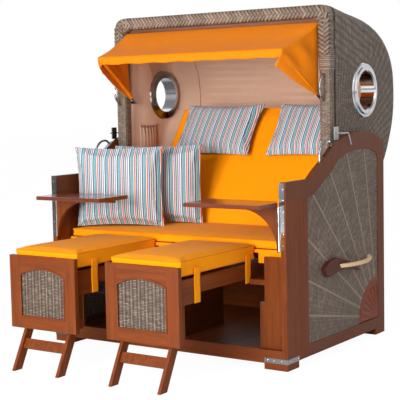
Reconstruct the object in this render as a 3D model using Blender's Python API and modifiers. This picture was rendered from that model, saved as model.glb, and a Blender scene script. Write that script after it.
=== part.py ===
"""Hooded beach chair for two: a wooden base with wicker sides, and a wicker hood that leans back on two pivots.

Units are metres, +Z is up, +X is the sitter's left (the viewer's right) and -Y is the front. The origin is on
the ground at the centre of the base. The chair is shown as it is used: hood upright, canopy out, both tables
swung in, and both footrests pulled out on their unfolded legs.
"""

import math
from math import cos, hypot, pi, radians, sin

import bmesh
import bpy
from mathutils import Matrix, Vector

# Overall sizes
WIDTH = 1.320
DEPTH = 0.964
GAP = 0.0003
OVERRUN = 0.020
SIDES = (("left", -1), ("right", 1))
HALF_WIDTH = WIDTH / 2
FRONT_Y = -DEPTH / 2
REAR_Y = DEPTH / 2

# Base frame
BOARD = 0.026
FRAME_INNER_X = HALF_WIDTH - BOARD
POST_WIDTH = 0.192
REAR_POST_WIDTH = 0.068
GROUND_GAP = 0.030
BOTTOM_RAIL_TOP = 0.084
ARM_HEIGHT = 0.815
ARM_RAIL_DEPTH = 0.080
ARCH_START = 0.214
ARCH_TOP = 1.007
ARCH_REAR = 0.950
ARCH_RAIL_WIDTH = 0.082
STRUT_WIDTH = 0.070
STRUT_BOARD = 0.011
WICKER_BOARD = 0.011
WICKER_RECESS = 0.003

# Carved corner piece
CARVING_RADIUS = 0.205
CARVING_GROOVES = 7
GROOVE_LENGTH = 0.125
GROOVE_START = 0.055
GROOVE_HALF_WIDTH = 0.0095
GROOVE_DEPTH = 0.005

# Carrying handles on the sides
BLOCK_LENGTH = 0.362
BLOCK_HEIGHT = 0.080
BLOCK_THICKNESS = 0.022
BLOCK_CENTRE_Y = 0.012
BLOCK_BASE_Z = 0.360
ROPE_DIAMETER = 0.022
ROPE_SPAN = 0.330
ROPE_SETFORWARD = 0.032
ROPE_FRONT_Y = BLOCK_CENTRE_Y - ROPE_SETFORWARD
ROPE_BOW = 0.050
ROPE_STUB = 0.008
ROPE_RISE = 0.040
ROPE_Z = BLOCK_BASE_Z + ROPE_RISE

# Feet and their straps
FOOT_WIDTH = 0.117
FOOT_DEPTH = 0.100
STRAP_HEIGHT = 0.021
STRAP_THICKNESS = 0.0015
FOOT_SEAT = 0.004

# Carcass under the seat
RAIL_THICKNESS = 0.022
RAIL_TOP = 0.086
FLOOR_THICKNESS = 0.016
FLOOR_BASE = 0.040
PARTITION_THICKNESS = 0.020
PARTITION_DEPTH = 0.470
FACE_BOARD_WIDTH = 0.128
FACE_BOARD_STEP = 0.024
FACE_STEP_HEIGHT = 0.285
FACE_BOARD_SETBACK = 0.010
FACE_BOARD_THICKNESS = 0.018
BACK_PANEL_HEIGHT = 0.410
BACK_PANEL_THICKNESS = 0.016

# Seat
SEAT_SETBACK = 0.096
SEAT_DEPTH = 0.506
SEAT_FRONT_Y = FRONT_Y + SEAT_SETBACK
SEAT_REAR_Y = SEAT_FRONT_Y + SEAT_DEPTH
SEAT_BOARD_BASE = 0.487
SEAT_BOARD_THICKNESS = 0.015
SEAT_CUSHION_RISE = 0.058
SEAT_TOP = SEAT_BOARD_BASE + SEAT_BOARD_THICKNESS + SEAT_CUSHION_RISE
SEAT_SIDE_CLEARANCE = 0.006
SEAT_WIDTH = 2 * (FRAME_INNER_X - SEAT_SIDE_CLEARANCE)
SEAT_BORDER_DROP = 0.040
SEAT_BORDER_BASE = SEAT_BOARD_BASE - SEAT_BORDER_DROP
SEAT_BORDER_DEPTH = 0.024
SEAT_CROWN = 0.006

# Hood
HOOD_SIDE_CLEARANCE = 0.009
HOOD_WIDTH = 2 * (FRAME_INNER_X - HOOD_SIDE_CLEARANCE)
HOOD_SETBACK = 0.532
HOOD_FRONT_Y = FRONT_Y + HOOD_SETBACK
HOOD_ROOF_Z = 1.592
HOOD_BASE_Z = 0.600
HOOD_BELLY_DEPTH = 0.160
HOOD_BELLY_Y = HOOD_FRONT_Y + HOOD_BELLY_DEPTH
HOOD_DEPTH = 0.664
HOOD_BACK_Y = HOOD_FRONT_Y + HOOD_DEPTH
HOOD_WALL = 0.046
HOOD_SKIN = 0.014
HOOD_CORNER = 0.045
PIVOT_SETBACK = 0.080
PIVOT_Y = HOOD_FRONT_Y + PIVOT_SETBACK
PIVOT_Z = 0.630
PIVOT_RADIUS = 0.026
LINING_THICKNESS = 0.007
RIM_WIDTH = 0.060
RIM_DEPTH = 0.054
RIM_ROUNDING = 0.016
MOUTH_HALF = HOOD_WIDTH / 2 - RIM_WIDTH
MOUTH_TOP = HOOD_ROOF_Z - RIM_WIDTH

# Portholes
PORT_SETBACK = 0.300
PORT_Y = HOOD_FRONT_Y + PORT_SETBACK
PORT_Z = 1.200
PORT_FLANGE_RADIUS = 0.132
PORT_RING_RADIUS = 0.112
PORT_CLEAR_RADIUS = 0.092
PORT_FLANGE = 0.005
PORT_RING_RISE = 0.012
PORT_STEPS = 32

# Canopy
BOW_SETBACK = 0.008
BOW_PIVOT_Y = HOOD_FRONT_Y + BOW_SETBACK
BOW_PIVOT_Z = 1.163
BOW_SIDE_CLEARANCE = 0.022
BOW_HALF_WIDTH = MOUTH_HALF - BOW_SIDE_CLEARANCE
BOW_TAPER = 0.031
BOW_FRONT_HALF_WIDTH = BOW_HALF_WIDTH - BOW_TAPER
BOW_REACH = 0.311
BOW_RISE = 0.212
BOW_RADIUS = 0.008
CANOPY_THICKNESS = 0.004
CANOPY_TOP_CLEARANCE = 0.017
CANOPY_BACK_Z = MOUTH_TOP - CANOPY_TOP_CLEARANCE
CANOPY_TUCK = 0.030
CANOPY_BACK_Y = HOOD_FRONT_Y - CANOPY_TUCK
CANOPY_SAG = 0.012
CANOPY_VALANCE = 0.034
CANOPY_SIDE_CLEARANCE = 0.005
CANOPY_HALF_WIDTH = MOUTH_HALF - CANOPY_SIDE_CLEARANCE

# Back cushion
BACK_LEAN = radians(35)
BACK_AHEAD = 0.034
BACK_BOTTOM_Y = HOOD_FRONT_Y - BACK_AHEAD
BACK_SINK = 0.010
BACK_BOTTOM_Z = SEAT_TOP - BACK_SINK
BACK_LENGTH = 0.710
BACK_THICKNESS = 0.072
BACK_SIDE_ROOM = 0.065
BACK_WIDTH = 2 * (MOUTH_HALF - BACK_SIDE_ROOM)
BACK_BOARD_THICKNESS = 0.012

# Loose pillows
PILLOW_WIDTH = 0.445
PILLOW_HEIGHT = 0.395
PILLOW_THICKNESS = 0.120
PILLOW_SETTLE_SHARE = 0.00962
PILLOW_FRONT_INSET = 0.230
PILLOW_FRONT_SETBACK = 0.111
PILLOW_REAR_INSET = 0.333
PILLOW_REAR_SETBACK = 0.296
NECK_ROOM = 0.060
NECK_WIDTH = (BACK_WIDTH - NECK_ROOM) / 2
NECK_HEIGHT = 0.310
NECK_THICKNESS = 0.085
NECK_SETTLE_SHARE = 0.0459
NECK_FROM_TOP = 0.170

# Tables
HINGE_RADIUS = 0.005
HINGE_INSET = 0.006
HINGE_X = FRAME_INNER_X - HINGE_INSET
HINGE_Y = FRONT_Y - HINGE_RADIUS
HINGE_DROP = 0.295
HINGE_BASE_Z = ARM_HEIGHT - HINGE_DROP
HINGE_LENGTH = 0.190
LEAF_INSET = 0.003
LEAF_TOP_Z = ARM_HEIGHT - LEAF_INSET
TABLE_DROP = 0.086
TABLE_TOP_Z = ARM_HEIGHT - TABLE_DROP
TABLE_THICKNESS = 0.018
TABLE_AHEAD = 0.149
TABLE_BEHIND = 0.067
TABLE_FRONT_Y = HINGE_Y - TABLE_AHEAD
TABLE_REAR_Y = HINGE_Y + TABLE_BEHIND
TABLE_LENGTH = 0.3864
TABLE_TAPER = 0.040
LEAF_WIDTH = 0.020
LEAF_THICKNESS = 0.002
BRACKET_THICKNESS = 0.020
BRACKET_LENGTH = 0.180
BRACKET_HEIGHT = 0.196
BATTEN_WIDTH = 0.034
BATTEN_THICKNESS = 0.014

# Footrests
FOOTREST_MIDDLE_GAP = 0.168
FOOTREST_SIDE_ROOM = 0.174
PANEL_WIDTH = FRAME_INNER_X - FOOTREST_SIDE_ROOM - FOOTREST_MIDDLE_GAP / 2
FOOTREST_CENTRE_X = (FOOTREST_MIDDLE_GAP + PANEL_WIDTH) / 2
FOOTREST_REACH = 0.512
PANEL_FRONT_Y = FRONT_Y - FOOTREST_REACH
PANEL_THICKNESS = 0.022
PANEL_BASE = 0.181
PANEL_TOP = 0.505
PANEL_STILE = 0.062
PANEL_BOTTOM_RAIL = 0.056
PANEL_TOP_RAIL = 0.053
PANEL_ARCH_RISE = 0.032
INFILL_THICKNESS = 0.008
BOX_INSET = 0.012
BOX_HALF_WIDTH = PANEL_WIDTH / 2 - BOX_INSET
BOX_BOARD = 0.018
BOX_HEADROOM = 0.038
BOX_TOP = SEAT_BOARD_BASE - BOX_HEADROOM
BOX_DEEP = 0.104
BOX_SHALLOW = 0.065
BOX_DEEP_LENGTH = 0.140
BOX_LENGTH = 0.700
RUNNER_SETBACK = 0.147
RUNNER_LENGTH = 0.385
RUNNER_FRONT_Y = FRONT_Y + RUNNER_SETBACK
RUNNER_REAR_Y = RUNNER_FRONT_Y + RUNNER_LENGTH
RUNNER_THICKNESS = 0.022
RUNNER_CLEARANCE = 0.006
DECK_THICKNESS = 0.010
REST_CUSHION_LENGTH = 0.580
REST_CUSHION_OVERHANG = 0.005
REST_CUSHION_HALF_WIDTH = BOX_HALF_WIDTH + REST_CUSHION_OVERHANG
REST_CUSHION_HEIGHT = 0.094
REST_CROWN = 0.005

# Folding legs
LEG_THICKNESS = 0.015
LEG_WIDTH = 0.043
LEG_SETBACK = 0.065
LEG_PIVOT_Y = PANEL_FRONT_Y + LEG_SETBACK
LEG_PIVOT_Z = 0.210
LEG_LEAN = radians(27)
CROSSBAR_WIDTH = 0.045
CROSSBAR_THICKNESS = 0.016
CROSSBAR_Z = 0.109
PIN_RADIUS = 0.006
HANGER_INSET = 0.031
HANGER_OFFSET = BOX_HALF_WIDTH - HANGER_INSET
HANGER_THICKNESS = 0.016
HANGER_DEPTH = 0.067
HANGER_REACH = 0.020
HANGER_BASE = LEG_PIVOT_Z - HANGER_REACH
LEG_CLEARANCE = 0.0035
LEG_SPREAD = 2 * (HANGER_OFFSET - LEG_CLEARANCE) - HANGER_THICKNESS - LEG_THICKNESS

# Chrome fittings on the arms and the hood
LOOP_RADIUS = 0.006
LOOP_SETBACK = 0.332
LOOP_LENGTH = 0.110
LOOP_FRONT_Y = FRONT_Y + LOOP_SETBACK
LOOP_REAR_Y = LOOP_FRONT_Y + LOOP_LENGTH
LOOP_RISE = 0.046
PLATE_BEHIND = 0.044
PLATE_Y = LOOP_REAR_Y + PLATE_BEHIND
PLATE_WIDTH = 0.036
PLATE_HEIGHT = 0.060
PLATE_THICKNESS = 0.006
LEVER_RADIUS = 0.004
LEVER_LENGTH = 0.074
LEVER_DROP = 0.055
LEVER_STAND = 0.012
GRIP_RADIUS = 0.006
GRIP_LENGTH = 0.120
GRIP_RISE = 0.045
GRIP_Z = 1.216
GRIP_STUB = 0.006

# Magazine pocket
POCKET_SETBACK = 0.145
POCKET_Y = HOOD_FRONT_Y + POCKET_SETBACK
POCKET_Z = 0.905
POCKET_WIDTH = 0.150
POCKET_HEIGHT = 0.140
POCKET_THICKNESS = 0.012

# Values worked out from the sizes above
OPENING_FRONT_Y = FRONT_Y + POST_WIDTH
OPENING_REAR_Y = REAR_Y - REAR_POST_WIDTH
ARM_BASE = ARM_HEIGHT - ARM_RAIL_DEPTH
HOOD_HALF = HOOD_WIDTH / 2
PANEL_REAR_Y = PANEL_FRONT_Y + PANEL_THICKNESS
TABLE_OUTER_X = HINGE_X - HINGE_RADIUS - 2 * GAP
TABLE_INNER_X = TABLE_OUTER_X - TABLE_LENGTH

WOOD = (0.270, 0.075, 0.030)
DARK_WOOD = (0.090, 0.022, 0.012)
WICKER = (0.190, 0.150, 0.120)
ORANGE = (0.900, 0.330, 0.010)
LINING = (0.600, 0.390, 0.290)
CHROME = (0.800, 0.800, 0.820)
STRIPED = (0.520, 0.560, 0.600)
ROPE = (0.800, 0.620, 0.380)

for stale in list(bpy.data.objects):
    bpy.data.objects.remove(stale)

chair = bpy.data.collections.new("hooded_beach_chair")
cutters = bpy.data.collections.new("cutters")
bpy.context.scene.collection.children.link(chair)
bpy.context.scene.collection.children.link(cutters)
cutters.hide_render = True


def finish(obj, colour, roughness=0.5, metallic=0.0):
    """Gives a piece its own material and files it with the chair."""
    material = bpy.data.materials.new(obj.name)
    material.use_nodes = True
    shader = material.node_tree.nodes["Principled BSDF"]
    shader.inputs["Base Color"].default_value = (*colour, 1)
    shader.inputs["Roughness"].default_value = roughness
    shader.inputs["Metallic"].default_value = metallic
    obj.data.materials.clear()
    obj.data.materials.append(material)
    chair.objects.link(obj)
    return obj


def new_object(name, mesh_edit):
    """A mesh object whose shape is made by mesh_edit on an empty bmesh."""
    shape = bmesh.new()
    mesh_edit(shape)
    mesh = bpy.data.meshes.new(name)
    shape.to_mesh(mesh)
    shape.free()
    return bpy.data.objects.new(name, mesh)


def box(name, low, high):
    size = [top - bottom for bottom, top in zip(low, high)]
    centre = [(top + bottom) / 2 for bottom, top in zip(low, high)]
    place = Matrix.Translation(centre) @ Matrix.Diagonal((*size, 1))
    return new_object(name, lambda shape: bmesh.ops.create_cube(shape, size=1, matrix=place))


def cylinder(name, start, end, radius, end_radius=None, sides=16):
    """A cylinder or a cone between two points."""
    start, end = Vector(start), Vector(end)
    turn = (end - start).to_track_quat("Z", "Y").to_matrix().to_4x4()
    place = Matrix.Translation((start + end) / 2) @ turn
    tip = radius if end_radius is None else end_radius

    def edit(shape):
        bmesh.ops.create_cone(shape, cap_ends=True, segments=sides, radius1=radius, radius2=tip,
                              depth=(end - start).length, matrix=place)
    return new_object(name, edit)


TURNS = {"x": Matrix(((0, 0, 1), (1, 0, 0), (0, 1, 0))),
         "y": Matrix(((1, 0, 0), (0, 0, -1), (0, 1, 0))),
         "z": Matrix.Identity(3)}


def plate(name, normal, outline, low, high):
    """A flat outline given thickness along one axis, from low to high.

    The outline's two values are Y and Z for a plate that faces X, X and Z for Y, and X and Y for Z.
    """
    turn = TURNS[normal].to_4x4()
    side = -1 if normal == "y" else 1

    def edit(shape):
        corners = [shape.verts.new(turn @ Vector((u, v, side * low))) for u, v in outline]
        face = shape.faces.new(corners)
        wall = bmesh.ops.extrude_face_region(shape, geom=[face])
        moved = [item for item in wall["geom"] if isinstance(item, bmesh.types.BMVert)]
        bmesh.ops.translate(shape, verts=moved, vec=turn @ Vector((0, 0, side * (high - low))))
        bmesh.ops.recalc_face_normals(shape, faces=shape.faces)
    return new_object(name, edit)


def tube(name, points, radius, resolution=2, closed=False):
    """A round bar or cord along points, as a mesh."""
    curve = bpy.data.curves.new(name, "CURVE")
    curve.dimensions = "3D"
    curve.bevel_depth = radius
    curve.bevel_resolution = resolution
    curve.use_fill_caps = True
    path = curve.splines.new("POLY")
    path.points.add(len(points) - 1)
    for point, place in zip(path.points, points):
        point.co = (*place, 1)
    path.use_cyclic_u = closed
    guide = bpy.data.objects.new(name + "_path", curve)
    bpy.context.scene.collection.objects.link(guide)
    graph = bpy.context.evaluated_depsgraph_get()
    mesh = bpy.data.meshes.new_from_object(guide.evaluated_get(graph))
    mesh.name = name
    shape = bmesh.new()
    shape.from_mesh(mesh)
    bmesh.ops.remove_doubles(shape, verts=shape.verts, dist=radius / 1000)
    bmesh.ops.recalc_face_normals(shape, faces=shape.faces)
    shape.to_mesh(mesh)
    shape.free()
    bpy.data.objects.remove(guide)
    return bpy.data.objects.new(name, mesh)


def boolean(obj, operation, other):
    """Cuts or joins with a helper that stays out of the render."""
    cutters.objects.link(other)
    other.hide_render = True
    other.display_type = "WIRE"
    change = obj.modifiers.new(operation.lower(), "BOOLEAN")
    change.operation = operation
    change.object = other
    return obj


def cut(obj, other):
    return boolean(obj, "DIFFERENCE", other)


def join(obj, other):
    return boolean(obj, "UNION", other)


def arc(centre, radius, start, end, steps, stretch=1.0):
    """Points of an arc from the angle start to the angle end; stretch scales it upwards."""
    return [(centre[0] + radius * cos(start + (end - start) * i / steps),
             centre[1] + stretch * radius * sin(start + (end - start) * i / steps))
            for i in range(steps + 1)]


def smooth(points, steps):
    """Points of a smooth curve through the given points."""
    line = []
    for i in range(len(points) - 1):
        before = points[max(i - 1, 0)]
        after = points[min(i + 2, len(points) - 1)]
        for k in range(steps):
            t = k / steps
            line.append(tuple(
                0.5 * (2 * b + (c - a) * t + (2 * a - 5 * b + 4 * c - d) * t * t + (3 * b - a - 3 * c + d) * t ** 3)
                for a, b, c, d in zip(before, points[i], points[i + 1], after)))
    return line + [tuple(points[-1])]


def inset(outline, distance):
    """An open outline moved to its left by distance, corner by corner."""
    moved = []
    for i, point in enumerate(outline):
        before = outline[max(i - 1, 0)]
        after = outline[min(i + 1, len(outline) - 1)]
        normals = []
        for start, end in ((before, point), (point, after)):
            run, rise = end[0] - start[0], end[1] - start[1]
            length = hypot(run, rise)
            if length > 0:
                normals.append((-rise / length, run / length))
        nx = sum(n[0] for n in normals)
        ny = sum(n[1] for n in normals)
        size = hypot(nx, ny)
        reach = distance / max(0.5, size / len(normals))
        moved.append((point[0] + nx / size * reach, point[1] + ny / size * reach))
    return moved


# How a cushion's cage crowds towards its edges, which sets how tightly they round
CAGE_PLAN_SHARE = 0.15
CAGE_HEIGHT_SHARE = 0.35
PILLOW_CAGE_SHARE = 0.6


def cushion(name, length, width, height, crown, waist, cuts=3, levels=1):
    """A box cushion lying flat and centred: its faces crown, and its sides draw in at half height."""
    def edit(shape):
        bmesh.ops.create_cube(shape, size=1)
        bmesh.ops.subdivide_edges(shape, edges=shape.edges, cuts=cuts, use_grid_fill=True)
        for vert in shape.verts:
            u, v, w = (2 * value for value in vert.co)
            dome = (1 - u ** 4) * (1 - v ** 4)
            pull = 1 - abs(w)
            u, v = (math.copysign(abs(value) ** CAGE_PLAN_SHARE, value) for value in (u, v))
            w = math.copysign(abs(w) ** CAGE_HEIGHT_SHARE, w)
            vert.co.x = u * (length / 2 - waist * pull * (abs(u) > 0.99))
            vert.co.y = v * (width / 2 - waist * pull * (abs(v) > 0.99))
            vert.co.z = w * (height / 2 - crown + crown * dome)
    obj = new_object(name, edit)
    soften = obj.modifiers.new("soften", "SUBSURF")
    soften.levels = soften.render_levels = levels
    return obj


def pillow(name, width, height, thickness, cuts=5):
    """A thrown pillow standing in the XZ plane and centred: full in the middle, thin at the seam, with eared corners."""
    def edit(shape):
        bmesh.ops.create_cube(shape, size=1)
        bmesh.ops.subdivide_edges(shape, edges=shape.edges, cuts=cuts, use_grid_fill=True)
        for vert in shape.verts:
            u, w, v = (2 * value for value in vert.co)
            u, v = (math.copysign(abs(value) ** PILLOW_CAGE_SHARE, value) for value in (u, v))
            full = ((1 - u * u) * (1 - v * v)) ** 0.42
            ear = (u * v) ** 2
            vert.co.x = u * width / 2 * (0.94 + 0.06 * ear)
            vert.co.z = v * height / 2 * (0.94 + 0.06 * ear)
            vert.co.y = w * thickness / 2 * (0.10 + 0.90 * full)
    obj = new_object(name, edit)
    soften = obj.modifiers.new("soften", "SUBSURF")
    soften.levels = soften.render_levels = 1
    return obj


def mirrored(outline, side):
    return [(side * x, z) for x, z in outline]


def span(side, inner, outer):
    """The low and high X of something between two distances from the middle, on one side."""
    return (inner, outer) if side > 0 else (-outer, -inner)


# Side frames: a front post, and the arched arm rail with the rear post and bottom rail in one
ARCH_SHARES = ((0.0, 0.0), (0.075, 0.18), (0.205, 0.45), (0.325, 0.76), (0.44, 0.90), (0.575, 0.985),
               (0.71, 1.0), (0.84, 0.94), (0.93, 0.83))
arch_run = REAR_Y - (FRONT_Y + ARCH_START)
arch_top = [(FRONT_Y + ARCH_START + along * arch_run, ARM_HEIGHT + up * (ARCH_TOP - ARM_HEIGHT))
            for along, up in ARCH_SHARES]
arch_top.append((REAR_Y, ARCH_REAR))
arch_under = inset(arch_top, -ARCH_RAIL_WIDTH)
arch_under = [point for point in arch_under if point[0] < OPENING_REAR_Y - GAP and point[1] > ARM_BASE + GAP]
opening_top = ([(OPENING_FRONT_Y, ARM_BASE)] + arch_under
               + [(OPENING_REAR_Y, arch_under[-1][1] - BOARD)])
frame_outline = ([(FRONT_Y, ARM_BASE), (FRONT_Y, ARM_HEIGHT)] + arch_top
                 + [(REAR_Y, GROUND_GAP), (OPENING_FRONT_Y + GAP, GROUND_GAP), (OPENING_FRONT_Y + GAP, BOTTOM_RAIL_TOP),
                    (OPENING_REAR_Y, BOTTOM_RAIL_TOP)] + opening_top[::-1])
carving_centre = (OPENING_REAR_Y - GAP, BOTTOM_RAIL_TOP + GAP)
wicker_outline = ([(OPENING_FRONT_Y + GAP, BOTTOM_RAIL_TOP + GAP), (OPENING_FRONT_Y + GAP, ARM_BASE - GAP)]
                  + [(y, z - GAP) for y, z in arch_under]
                  + [(OPENING_REAR_Y - GAP, opening_top[-1][1] - GAP)]
                  + arc(carving_centre, CARVING_RADIUS + GAP, pi / 2, pi, 10))
BLOCK_SHARES = ((0.0, 0.57), (0.135, 0.90), (0.35, 1.0), (0.63, 0.68), (0.83, 0.32), (1.0, -0.12), (0.83, 0.06),
                (0.68, 0.22), (0.52, 0.25), (0.35, 0.17), (0.22, 0.06), (0.12, 0.01), (0.04, 0.19))

for side_name, side in SIDES:
    low, high = span(side, FRAME_INNER_X, HALF_WIDTH)
    post = box("front_post_" + side_name, (low, FRONT_Y, GROUND_GAP), (high, OPENING_FRONT_Y, ARM_BASE - GAP))
    finish(post, WOOD)

    frame = plate("side_frame_" + side_name, "x", frame_outline, low, high)
    strut_low, strut_high = span(side, FRAME_INNER_X, FRAME_INNER_X + STRUT_BOARD)
    strut = box("pivot_strut_" + side_name,
                (strut_low, PIVOT_Y - STRUT_WIDTH / 2, BOTTOM_RAIL_TOP - OVERRUN),
                (strut_high, PIVOT_Y + STRUT_WIDTH / 2, ARCH_TOP - ARCH_RAIL_WIDTH + OVERRUN))
    finish(join(frame, strut), WOOD)

    low, high = span(side, HALF_WIDTH - WICKER_RECESS - WICKER_BOARD, HALF_WIDTH - WICKER_RECESS)
    finish(plate("side_wicker_" + side_name, "x", wicker_outline, low, high), WICKER, 0.8)

    low, high = span(side, FRAME_INNER_X + STRUT_BOARD + GAP, HALF_WIDTH)
    quarter = [carving_centre] + arc(carving_centre, CARVING_RADIUS, pi / 2, pi, 10)
    carving = plate("carved_corner_" + side_name, "x", quarter, low, high)
    for i in range(CARVING_GROOVES):
        angle = pi / 2 * (1 + (i + 0.5) / CARVING_GROOVES)
        start = GROOVE_START
        end = GROOVE_START + GROOVE_LENGTH
        axis_x = side * (HALF_WIDTH + GROOVE_HALF_WIDTH - GROOVE_DEPTH)
        groove = cylinder(f"groove_{side_name}_{i}",
                          (axis_x, carving_centre[0] + start * cos(angle), carving_centre[1] + start * sin(angle)),
                          (axis_x, carving_centre[0] + end * cos(angle), carving_centre[1] + end * sin(angle)),
                          GROOVE_HALF_WIDTH / 2, GROOVE_HALF_WIDTH, 8)
        cut(carving, groove)
    finish(carving, WOOD)

    block_front = BLOCK_CENTRE_Y - BLOCK_LENGTH / 2
    block_outline = [(block_front + along * BLOCK_LENGTH, BLOCK_BASE_Z + up * BLOCK_HEIGHT)
                     for along, up in BLOCK_SHARES]
    block_face = HALF_WIDTH - WICKER_RECESS + GAP
    low, high = span(side, block_face, block_face + BLOCK_THICKNESS)
    finish(plate("handle_block_" + side_name, "x", block_outline, low, high), DARK_WOOD)

    rope_radius = ROPE_DIAMETER / 2
    front_x = block_face + BLOCK_THICKNESS + GAP
    rear_x = block_face
    rope_path = [(side * front_x, ROPE_FRONT_Y, ROPE_Z), (side * (front_x + ROPE_STUB), ROPE_FRONT_Y, ROPE_Z)]
    for i in range(1, 14):
        share = i / 14
        reach = front_x + (rear_x - front_x) * share + ROPE_BOW * sin(pi * share) ** 0.7
        rope_path.append((side * reach, ROPE_FRONT_Y + ROPE_SPAN * share, ROPE_Z))
    rope_rear_y = ROPE_FRONT_Y + ROPE_SPAN
    rope_path += [(side * (rear_x + ROPE_STUB), rope_rear_y, ROPE_Z), (side * rear_x, rope_rear_y, ROPE_Z)]
    finish(tube("rope_handle_" + side_name, rope_path, rope_radius), ROPE, 0.9)


def join_feet(board, end):
    """Adds the two feet that stand under a board across the front or the rear."""
    for side_name, side in SIDES:
        low, high = span(side, HALF_WIDTH - FOOT_WIDTH, HALF_WIDTH)
        y_low, y_high = span(end, REAR_Y - FOOT_DEPTH, REAR_Y)
        join(board, box(f"foot_{board.name}_{side_name}", (low, y_low, 0), (high, y_high, GROUND_GAP - GAP)))
    return board


# Chrome straps round the front corners
for side_name, side in SIDES:
    low, high = span(side, HALF_WIDTH - FOOT_WIDTH, HALF_WIDTH + STRAP_THICKNESS + GAP)
    corner_y = FRONT_Y - GAP - STRAP_THICKNESS
    strap = box("corner_strap_front_" + side_name, (low, corner_y, GROUND_GAP + GAP),
                (high, FRONT_Y + FOOT_DEPTH, GROUND_GAP + GAP + STRAP_HEIGHT))
    low, high = span(side, HALF_WIDTH - FOOT_WIDTH - OVERRUN, HALF_WIDTH + GAP)
    inside = box("strap_inside_" + side_name, (low, FRONT_Y - GAP, 0), (high, FRONT_Y + FOOT_DEPTH + OVERRUN, ARM_BASE))
    finish(cut(strap, inside), CHROME, 0.2, 1.0)

# Carcass boards
inner = FRAME_INNER_X - GAP
rail = box("front_rail", (-inner, FRONT_Y, GROUND_GAP - FOOT_SEAT), (inner, FRONT_Y + RAIL_THICKNESS, RAIL_TOP))
finish(join_feet(rail, -1), WOOD)
floor_front = FRONT_Y + RAIL_THICKNESS + GAP
back_front = REAR_Y - BACK_PANEL_THICKNESS
finish(box("floor_board", (-inner, floor_front, FLOOR_BASE), (inner, back_front - GAP, FLOOR_BASE + FLOOR_THICKNESS)),
       DARK_WOOD)
panel = box("back_panel", (-inner, back_front, GROUND_GAP - FOOT_SEAT), (inner, REAR_Y, BACK_PANEL_HEIGHT))
finish(join_feet(panel, 1), DARK_WOOD)
floor_top = FLOOR_BASE + FLOOR_THICKNESS + GAP
partition_rear = floor_front + PARTITION_DEPTH
border_rear = SEAT_FRONT_Y + SEAT_BORDER_DEPTH
partition_outline = [(floor_front, floor_top), (floor_front, SEAT_BORDER_BASE - GAP),
                     (border_rear + GAP, SEAT_BORDER_BASE - GAP), (border_rear + GAP, SEAT_BOARD_BASE - GAP),
                     (partition_rear, SEAT_BOARD_BASE - GAP), (partition_rear, floor_top)]
partition = plate("centre_partition", "x", partition_outline, -PARTITION_THICKNESS / 2, PARTITION_THICKNESS / 2)
runner_top = BOX_TOP - BOX_SHALLOW - GAP
box_inner = FOOTREST_CENTRE_X - BOX_HALF_WIDTH
box_outer = FOOTREST_CENTRE_X + BOX_HALF_WIDTH
runner_reach = box_inner + BOX_BOARD
join(partition, box("runner_inner", (-runner_reach, RUNNER_FRONT_Y, runner_top - RUNNER_THICKNESS),
                    (runner_reach, RUNNER_REAR_Y, runner_top)))
finish(partition, WOOD)
for side_name, side in SIDES:
    narrow = inner - FACE_BOARD_WIDTH + FACE_BOARD_STEP
    outline = [(inner, floor_top), (inner, SEAT_BOARD_BASE - GAP), (narrow, SEAT_BOARD_BASE - GAP),
               (narrow, FACE_STEP_HEIGHT), (narrow - FACE_BOARD_STEP, FACE_STEP_HEIGHT),
               (narrow - FACE_BOARD_STEP, floor_top)]
    face_y = floor_front + FACE_BOARD_SETBACK
    face_board = plate("face_board_" + side_name, "y", mirrored(outline, side), face_y, face_y + FACE_BOARD_THICKNESS)
    clear_x = box_outer + RUNNER_CLEARANCE
    runner_outline = [(inner, face_y + GAP), (inner, RUNNER_REAR_Y), (box_outer - BOX_BOARD, RUNNER_REAR_Y),
                      (box_outer - BOX_BOARD, RUNNER_FRONT_Y), (clear_x, RUNNER_FRONT_Y), (clear_x, face_y + GAP)]
    join(face_board, plate("runner_outer_" + side_name, "z", mirrored(runner_outline, side),
                           runner_top - RUNNER_THICKNESS, runner_top))
    finish(face_board, WOOD)

# Seat
seat_board_top = SEAT_BOARD_BASE + SEAT_BOARD_THICKNESS
finish(box("seat_board", (-inner, border_rear + GAP, SEAT_BOARD_BASE), (inner, SEAT_REAR_Y, seat_board_top)), DARK_WOOD)
seat_height = SEAT_TOP - seat_board_top - GAP
seat = cushion("seat_cushion", SEAT_WIDTH, SEAT_REAR_Y - SEAT_FRONT_Y, seat_height, SEAT_CROWN, SEAT_CROWN / 2)
seat.location = (0, (SEAT_REAR_Y + SEAT_FRONT_Y) / 2, seat_board_top + GAP + seat_height / 2)
finish(seat, ORANGE, 0.8)
way_inner = FOOTREST_CENTRE_X - PANEL_WIDTH / 2 - 2 * STRAP_THICKNESS
way_outer = FOOTREST_CENTRE_X + PANEL_WIDTH / 2 + 2 * STRAP_THICKNESS
edge = SEAT_WIDTH / 2
border_outline = [(edge, SEAT_BORDER_BASE), (edge, seat_board_top), (-edge, seat_board_top), (-edge, SEAT_BORDER_BASE),
                  (-way_outer, SEAT_BORDER_BASE), (-way_outer, SEAT_BOARD_BASE), (-way_inner, SEAT_BOARD_BASE),
                  (-way_inner, SEAT_BORDER_BASE), (way_inner, SEAT_BORDER_BASE), (way_inner, SEAT_BOARD_BASE),
                  (way_outer, SEAT_BOARD_BASE), (way_outer, SEAT_BORDER_BASE)]
finish(plate("seat_border", "y", border_outline, SEAT_FRONT_Y, border_rear), ORANGE, 0.8)


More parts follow.
